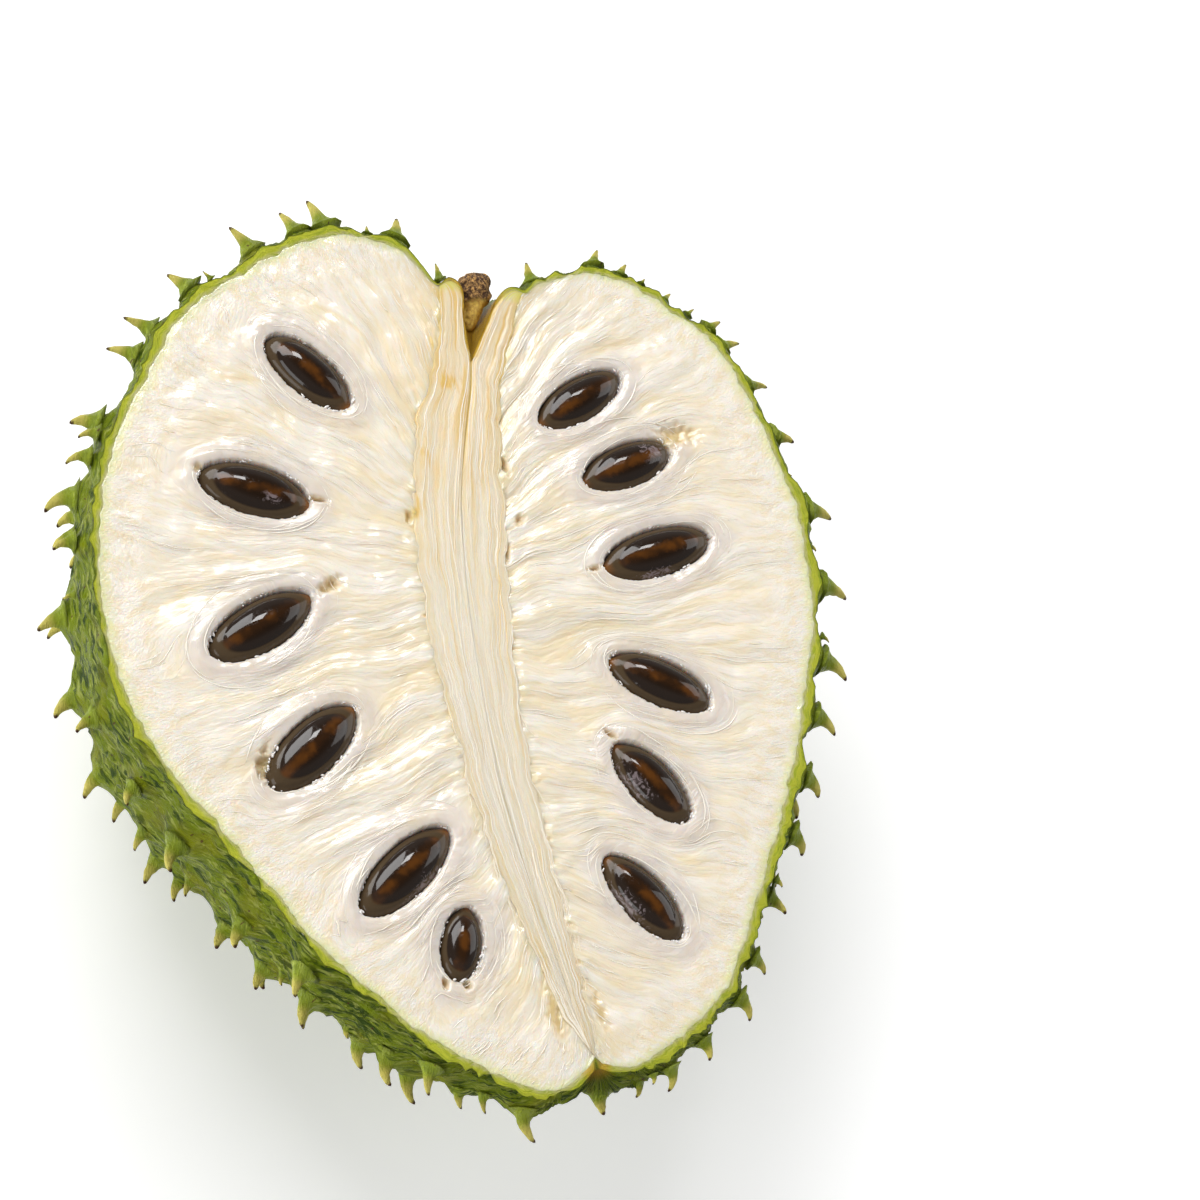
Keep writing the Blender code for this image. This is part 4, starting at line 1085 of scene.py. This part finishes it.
finish_with(
    tree, shader, {"Coat Roughness": 0.03, "Specular IOR Level": 0.08}, (0.15, 0.0004, grain),
    Base_Color=tone, Roughness=rising(tree, grain, 0.3, 0.7, 0.10, 0.2),
    Coat_Weight=rising(tree, mark(tree, "ring"), 0.70, 0.78, 0.7, 0.4))
FILMS = {  # (x, y, reach along and across the seed in mm) of the milky skin left on some seeds
    "seed_left_2": (3.0, -1.2, 2.6, 1.4), "seed_left_5": (1.0, -3.6, 6.0, 1.3),
    "seed_right_2": (5.0, 0.6, 3.6, 2.6), "seed_right_3": (-2.0, -3.6, 5.0, 1.2),
    "seed_right_5": (-2.0, -2.6, 5.5, 2.0), "seed_right_6": (-1.0, -3.2, 6.5, 1.6),
}
SEED_PROFILE = [  # (radius share, height share) from the middle of a face to the edge
    (0.0, 1.0), (0.12, 0.99), (0.24, 0.965), (0.36, 0.925), (0.47, 0.87), (0.57, 0.80), (0.65, 0.725),
    (0.70, 0.665), (0.735, 0.60), (0.755, 0.575), (0.80, 0.535), (0.86, 0.47), (0.91, 0.38),
    (0.95, 0.27), (0.98, 0.14), (1.0, 0.0),
]
seed_scatter = random.Random(3)
for side, group in (("left", SEEDS_LEFT), ("right", SEEDS_RIGHT)):
    for number, (x, y, length, width, angle) in enumerate(group, start=1):
        name = f"seed_{side}_{number}"
        thick = SEED_THICK / 2 * min(1, width / 8.2)
        lengthwise, sideways = unit_axes(angle)
        centre = np.array([x, y, -SEED_SINK])
        core_end = 1 if side == "left" else -1
        turns = np.arange(SEED_AROUND) / SEED_AROUND * 2 * math.pi
        uneven = seed_scatter.uniform(0, 6)
        profile = SEED_PROFILE + [(share, -height) for share, height in SEED_PROFILE[-2::-1]]
        rings, ring_share, scar = [], [], []
        for share, height in profile:
            cos, sin = np.cos(turns) * core_end, np.sin(turns)
            drawn = 1 - 0.16 * np.maximum(np.cos(turns), 0) ** 3 + 0.02 * np.sin(2 * turns + uneven)
            along = np.sign(cos) * np.abs(cos) ** 0.94 * share * length / 2
            aside = sin * drawn * share * width / 2
            along = along + 0.10 * np.sin(sin * 4 + uneven)
            up = height * thick * (1 - 0.10 * np.cos(turns) * share)
            from_end = (turns + math.pi) % (2 * math.pi) - math.pi
            nub = np.exp(-(from_end / 0.28) ** 2) * eased(share, 0.86, 1.0)
            along = along + nub * core_end * 0.5
            rings.append(centre + np.outer(along, lengthwise) + np.outer(aside, sideways)
                         + np.outer(up * np.ones(SEED_AROUND), [0, 0, 1]))
            ring_share.append(np.full(SEED_AROUND, share))
            scar.append(nub)
        points = np.vstack(rings)
        faces = grid_faces(tube_index(0, len(profile), SEED_AROUND, tip=-1), turned=side == "right")
        offset = points - centre
        local_place = np.column_stack([offset @ lengthwise, offset @ sideways, offset[:, 2]])
        film = np.zeros(len(points))
        if name in FILMS:
            film_x, film_y, reach_x, reach_y = FILMS[name]
            film = np.exp(-((local_place[:, 0] - film_x) / reach_x) ** 2
                          - ((local_place[:, 1] - film_y) / reach_y) ** 2)
        seed_marks = {"seed_place": local_place, "seed_spot": points, "ring": np.concatenate(ring_share),
                      "scar": np.concatenate(scar), "film": film}
        new_piece(name + "_seed", points, faces, seed_marks, seed_finish, "seed", name)

# ---- Juice --------------------------------------------------------------------------------------
# Beads of juice that cling along the seeds' edges where the pulp was torn off them; their near-white colour
# is a painted glint.
BEADS_TO_A_SEED = 120
BEAD_AROUND, BEAD_RINGS = 8, 5
# Near-white colours of the beads: painted glints.
JUICE_PAINTED_GLINT_DIM, JUICE_PAINTED_GLINT_BRIGHT = (0.78, 0.74, 0.70), (0.92, 0.90, 0.88)
juice_painted_glint_finish, tree, shader = new_material("juice_painted_glint_finish")
tone = blend(tree, texture(tree, None, 900.0), JUICE_PAINTED_GLINT_DIM, JUICE_PAINTED_GLINT_BRIGHT)
finish_with(tree, shader, {"Roughness": 0.06, "Specular IOR Level": 0.8}, Base_Color=tone)
bead_scatter = random.Random(8)
bead_points, bead_faces = [], []
for x, y, length, width, angle in SEEDS_LEFT + SEEDS_RIGHT:
    lengthwise, sideways = (axis[:2] for axis in unit_axes(angle))
    for _ in range(BEADS_TO_A_SEED):
        turn = bead_scatter.uniform(0, 2 * math.pi)
        if noise(np.array(2.2 * math.cos(turn) + x), np.array(2.2 * math.sin(turn) + y), 9) < 0.05:
            continue
        outwards = bead_scatter.uniform(-0.05, 0.55)
        middle = (np.array([x, y]) + lengthwise * math.cos(turn) * (length / 2 + outwards)
                  + sideways * math.sin(turn) * (width / 2 + outwards))
        lower_side = middle[1] < y
        radius = bead_scatter.uniform(0.05, 0.17) * (1.3 if lower_side else 0.8)
        stretch = bead_scatter.uniform(1.0, 3.2)
        heading = turn + bead_scatter.uniform(-0.5, 0.5)
        tangent = -lengthwise * math.sin(heading) + sideways * math.cos(heading)
        across_way = np.array([-tangent[1], tangent[0]])
        height = bead_scatter.uniform(-0.6, 0.1) + outwards * 0.5
        start = len(bead_points)
        for ring in range(BEAD_RINGS + 1):
            tilt = math.pi * ring / BEAD_RINGS
            for k in range(BEAD_AROUND):
                side = 2 * math.pi * k / BEAD_AROUND
                place = (middle + tangent * math.cos(side) * math.sin(tilt) * radius * stretch
                         + across_way * math.sin(side) * math.sin(tilt) * radius)
                bead_points.append((*place, height + math.cos(tilt) * radius * 0.8))
        bead_faces += grid_faces(tube_index(start, BEAD_RINGS + 1, BEAD_AROUND))
new_piece("juice_beads_painted_glints", bead_points, bead_faces, {}, juice_painted_glint_finish, "flesh", "flesh")

# ---- Stalk --------------------------------------------------------------------------------------
# The knobbly woody stub of the fruit stalk, broken off in its pit.
STALK_STATIONS = [  # (x, y, z of the middle, radius)
    (1.9, 70.4, -4.2, 0.5), (2.2, 71.4, -4.2, 1.2), (2.6, 72.8, -3.9, 1.6), (3.0, 74.2, -3.6, 1.8),
    (3.3, 75.2, -3.3, 2.5), (3.6, 76.8, -3.2, 2.9), (3.8, 78.6, -3.2, 2.8), (3.9, 80.2, -3.4, 2.2),
    (3.9, 80.9, -3.5, 1.0),
]
STALK_ROWS = 70
STALK_AROUND = 64
STALK_DARK, STALK_BARK, CRACK_DARK = (0.055, 0.020, 0.006), (0.66, 0.36, 0.10), (0.045, 0.02, 0.01)
NECK_AMBER, NECK_BROWN = (0.98, 0.68, 0.14), (0.66, 0.38, 0.07)
stalk_finish, tree, shader = new_material("stalk_finish")
place = mark(tree, "stalk_place", "Vector")
bark = texture(tree, place, 1.3, Detail=6.0, Roughness=0.7)
cracks = add(tree, "TexVoronoi", {"Vector": place, "Scale": 0.9}, feature="DISTANCE_TO_EDGE")
tone = blend(tree, rising(tree, bark, 0.42, 0.66), STALK_DARK, STALK_BARK)
neck = blend(tree, rising(tree, bark, 0.4, 0.65), NECK_AMBER, NECK_BROWN)
tone = blend(tree, rising(tree, cracks.outputs["Distance"], 0.08, 0.0, 0.0, 0.5), tone, CRACK_DARK)
tone = blend(tree, rising(tree, mark(tree, "low"), 0.48, 0.60), tone, neck)
finish_with(tree, shader, {}, (0.8, 0.0006, bark), Base_Color=tone,
            Roughness=rising(tree, bark, 0.3, 0.7, 0.9, 0.6))
stations = np.array(STALK_STATIONS)
along = np.linspace(0, 1, STALK_ROWS + 1)
at = np.linspace(0, 1, len(stations))
middles = np.column_stack([np.interp(along, at, stations[:, k]) for k in range(3)])
radii = np.interp(along, at, stations[:, 3])
turns = np.arange(STALK_AROUND) / STALK_AROUND * 2 * math.pi
cos, sin, up = np.cos(turns)[None, :], np.sin(turns)[None, :], along[:, None]
knobs = 0.18 * noise(cos * 1.6 + up * 5, sin * 1.6 + up * 3, 401)
knobs += 0.12 * noise(cos * 4 + up * 9, sin * 4 - up * 8, 402)
wide = radii[:, None] * (1 + knobs)
points = middles[:, None] + np.dstack([wide * np.cos(turns), 0.4 * knobs, wide * np.sin(turns)])
points = points.reshape(-1, 3)
faces = grid_faces(tube_index(0, STALK_ROWS + 1, STALK_AROUND, tip=-1))
marks = {"stalk_place": points, "low": 1 - np.repeat(along, STALK_AROUND)}
new_piece("stalk_stub", points, faces, marks, stalk_finish, "stalk", "stalk")

# ---- Floor, light and camera --------------------------------------------------------------------
# A plain pale floor and soft studio light from above the stalk end, with a bright surround.
FLOOR_REACH = 3  # metres
FLOOR_DIM, FLOOR_BRIGHT = (0.90, 0.90, 0.90), (0.92, 0.92, 0.92)
corners = [(x * FLOOR_REACH, y * FLOOR_REACH, 0) for x, y in ((-1, -1), (1, -1), (1, 1), (-1, 1))]
floor_mesh = bpy.data.meshes.new("floor")
floor_mesh.from_pydata(corners, [], [(0, 1, 2, 3)])
floor_finish, tree, shader = new_material("floor_finish")
tone = blend(tree, texture(tree, None, 30.0, Detail=2.0), FLOOR_DIM, FLOOR_BRIGHT)
finish_with(tree, shader, {"Roughness": 0.9, "Specular IOR Level": 0.1, "Emission Color": (1.0, 1.0, 1.0, 1),
                           "Emission Strength": 0.275}, Base_Color=tone)
floor_mesh.materials.append(floor_finish)
floor = bpy.data.objects.new("floor", floor_mesh)
bpy.context.scene.collection.objects.link(floor)

WORLD_DIM = (0.34, 0.32, 0.88)  # the way in which the surround is dimmer
world = bpy.data.worlds.new("surround")
world.use_nodes = True
tree = world.node_tree
way = add(tree, "TexCoord").outputs["Generated"]
towards = add(tree, "VectorMath", {0: way, 1: WORLD_DIM}, operation="DOT_PRODUCT").outputs["Value"]
background = tree.nodes["Background"]
background.inputs["Color"].default_value = (1.0, 1.0, 1.0, 1)
tree.links.new(rising(tree, towards, 0.70, 0.97, 0.37, 0.11), background.inputs["Strength"])
bpy.context.scene.world = world

subject = Vector(face_origin)


def soft_light(name, towards, distance, size, power):
    """A square soft box at a distance from the cut face, turned to it."""
    data = bpy.data.lights.new(name, "AREA")
    data.size = size
    data.energy = power
    light = bpy.data.objects.new(name, data)
    away = Vector(towards).normalized()
    light.location = subject + away * distance
    light.rotation_euler = away.to_track_quat("Z", "Y").to_euler()
    bpy.context.scene.collection.objects.link(light)


soft_light("key_box", (-0.30, 0.80, 0.75), 2.2, 1.3, 34.5)
soft_light("glint_box", (0.15, 0.62, 0.77), 2.2, 0.35, 6.0)
soft_light("side_box", (0.85, 0.25, 0.45), 2.0, 1.2, 8.5)
soft_light("low_fill", (-0.95, -0.35, 0.45), 2.0, 1.4, 19.0)

CAMERA_PLACE = (-187.5, -177.6, 487.5)  # from the middle of the cut face, in millimetres
CAMERA_RIGHT = Vector((0.9322, -0.1665, 0.3214))
CAMERA_UP = Vector((0.0328, 0.9232, 0.3830))
camera_data = bpy.data.cameras.new("camera")
camera_data.lens = 100
camera_data.sensor_width = 36
camera = bpy.data.objects.new("camera", camera_data)
back = CAMERA_RIGHT.cross(CAMERA_UP).normalized()
up = back.cross(CAMERA_RIGHT).normalized()
right = up.cross(back)
turned = Matrix((right, up, back)).transposed().to_4x4()
camera.matrix_world = Matrix.Translation(subject + Vector(CAMERA_PLACE) * MM) @ turned
bpy.context.scene.collection.objects.link(camera)
bpy.context.scene.camera = camera
bpy.context.scene.view_settings.view_transform = "Standard"
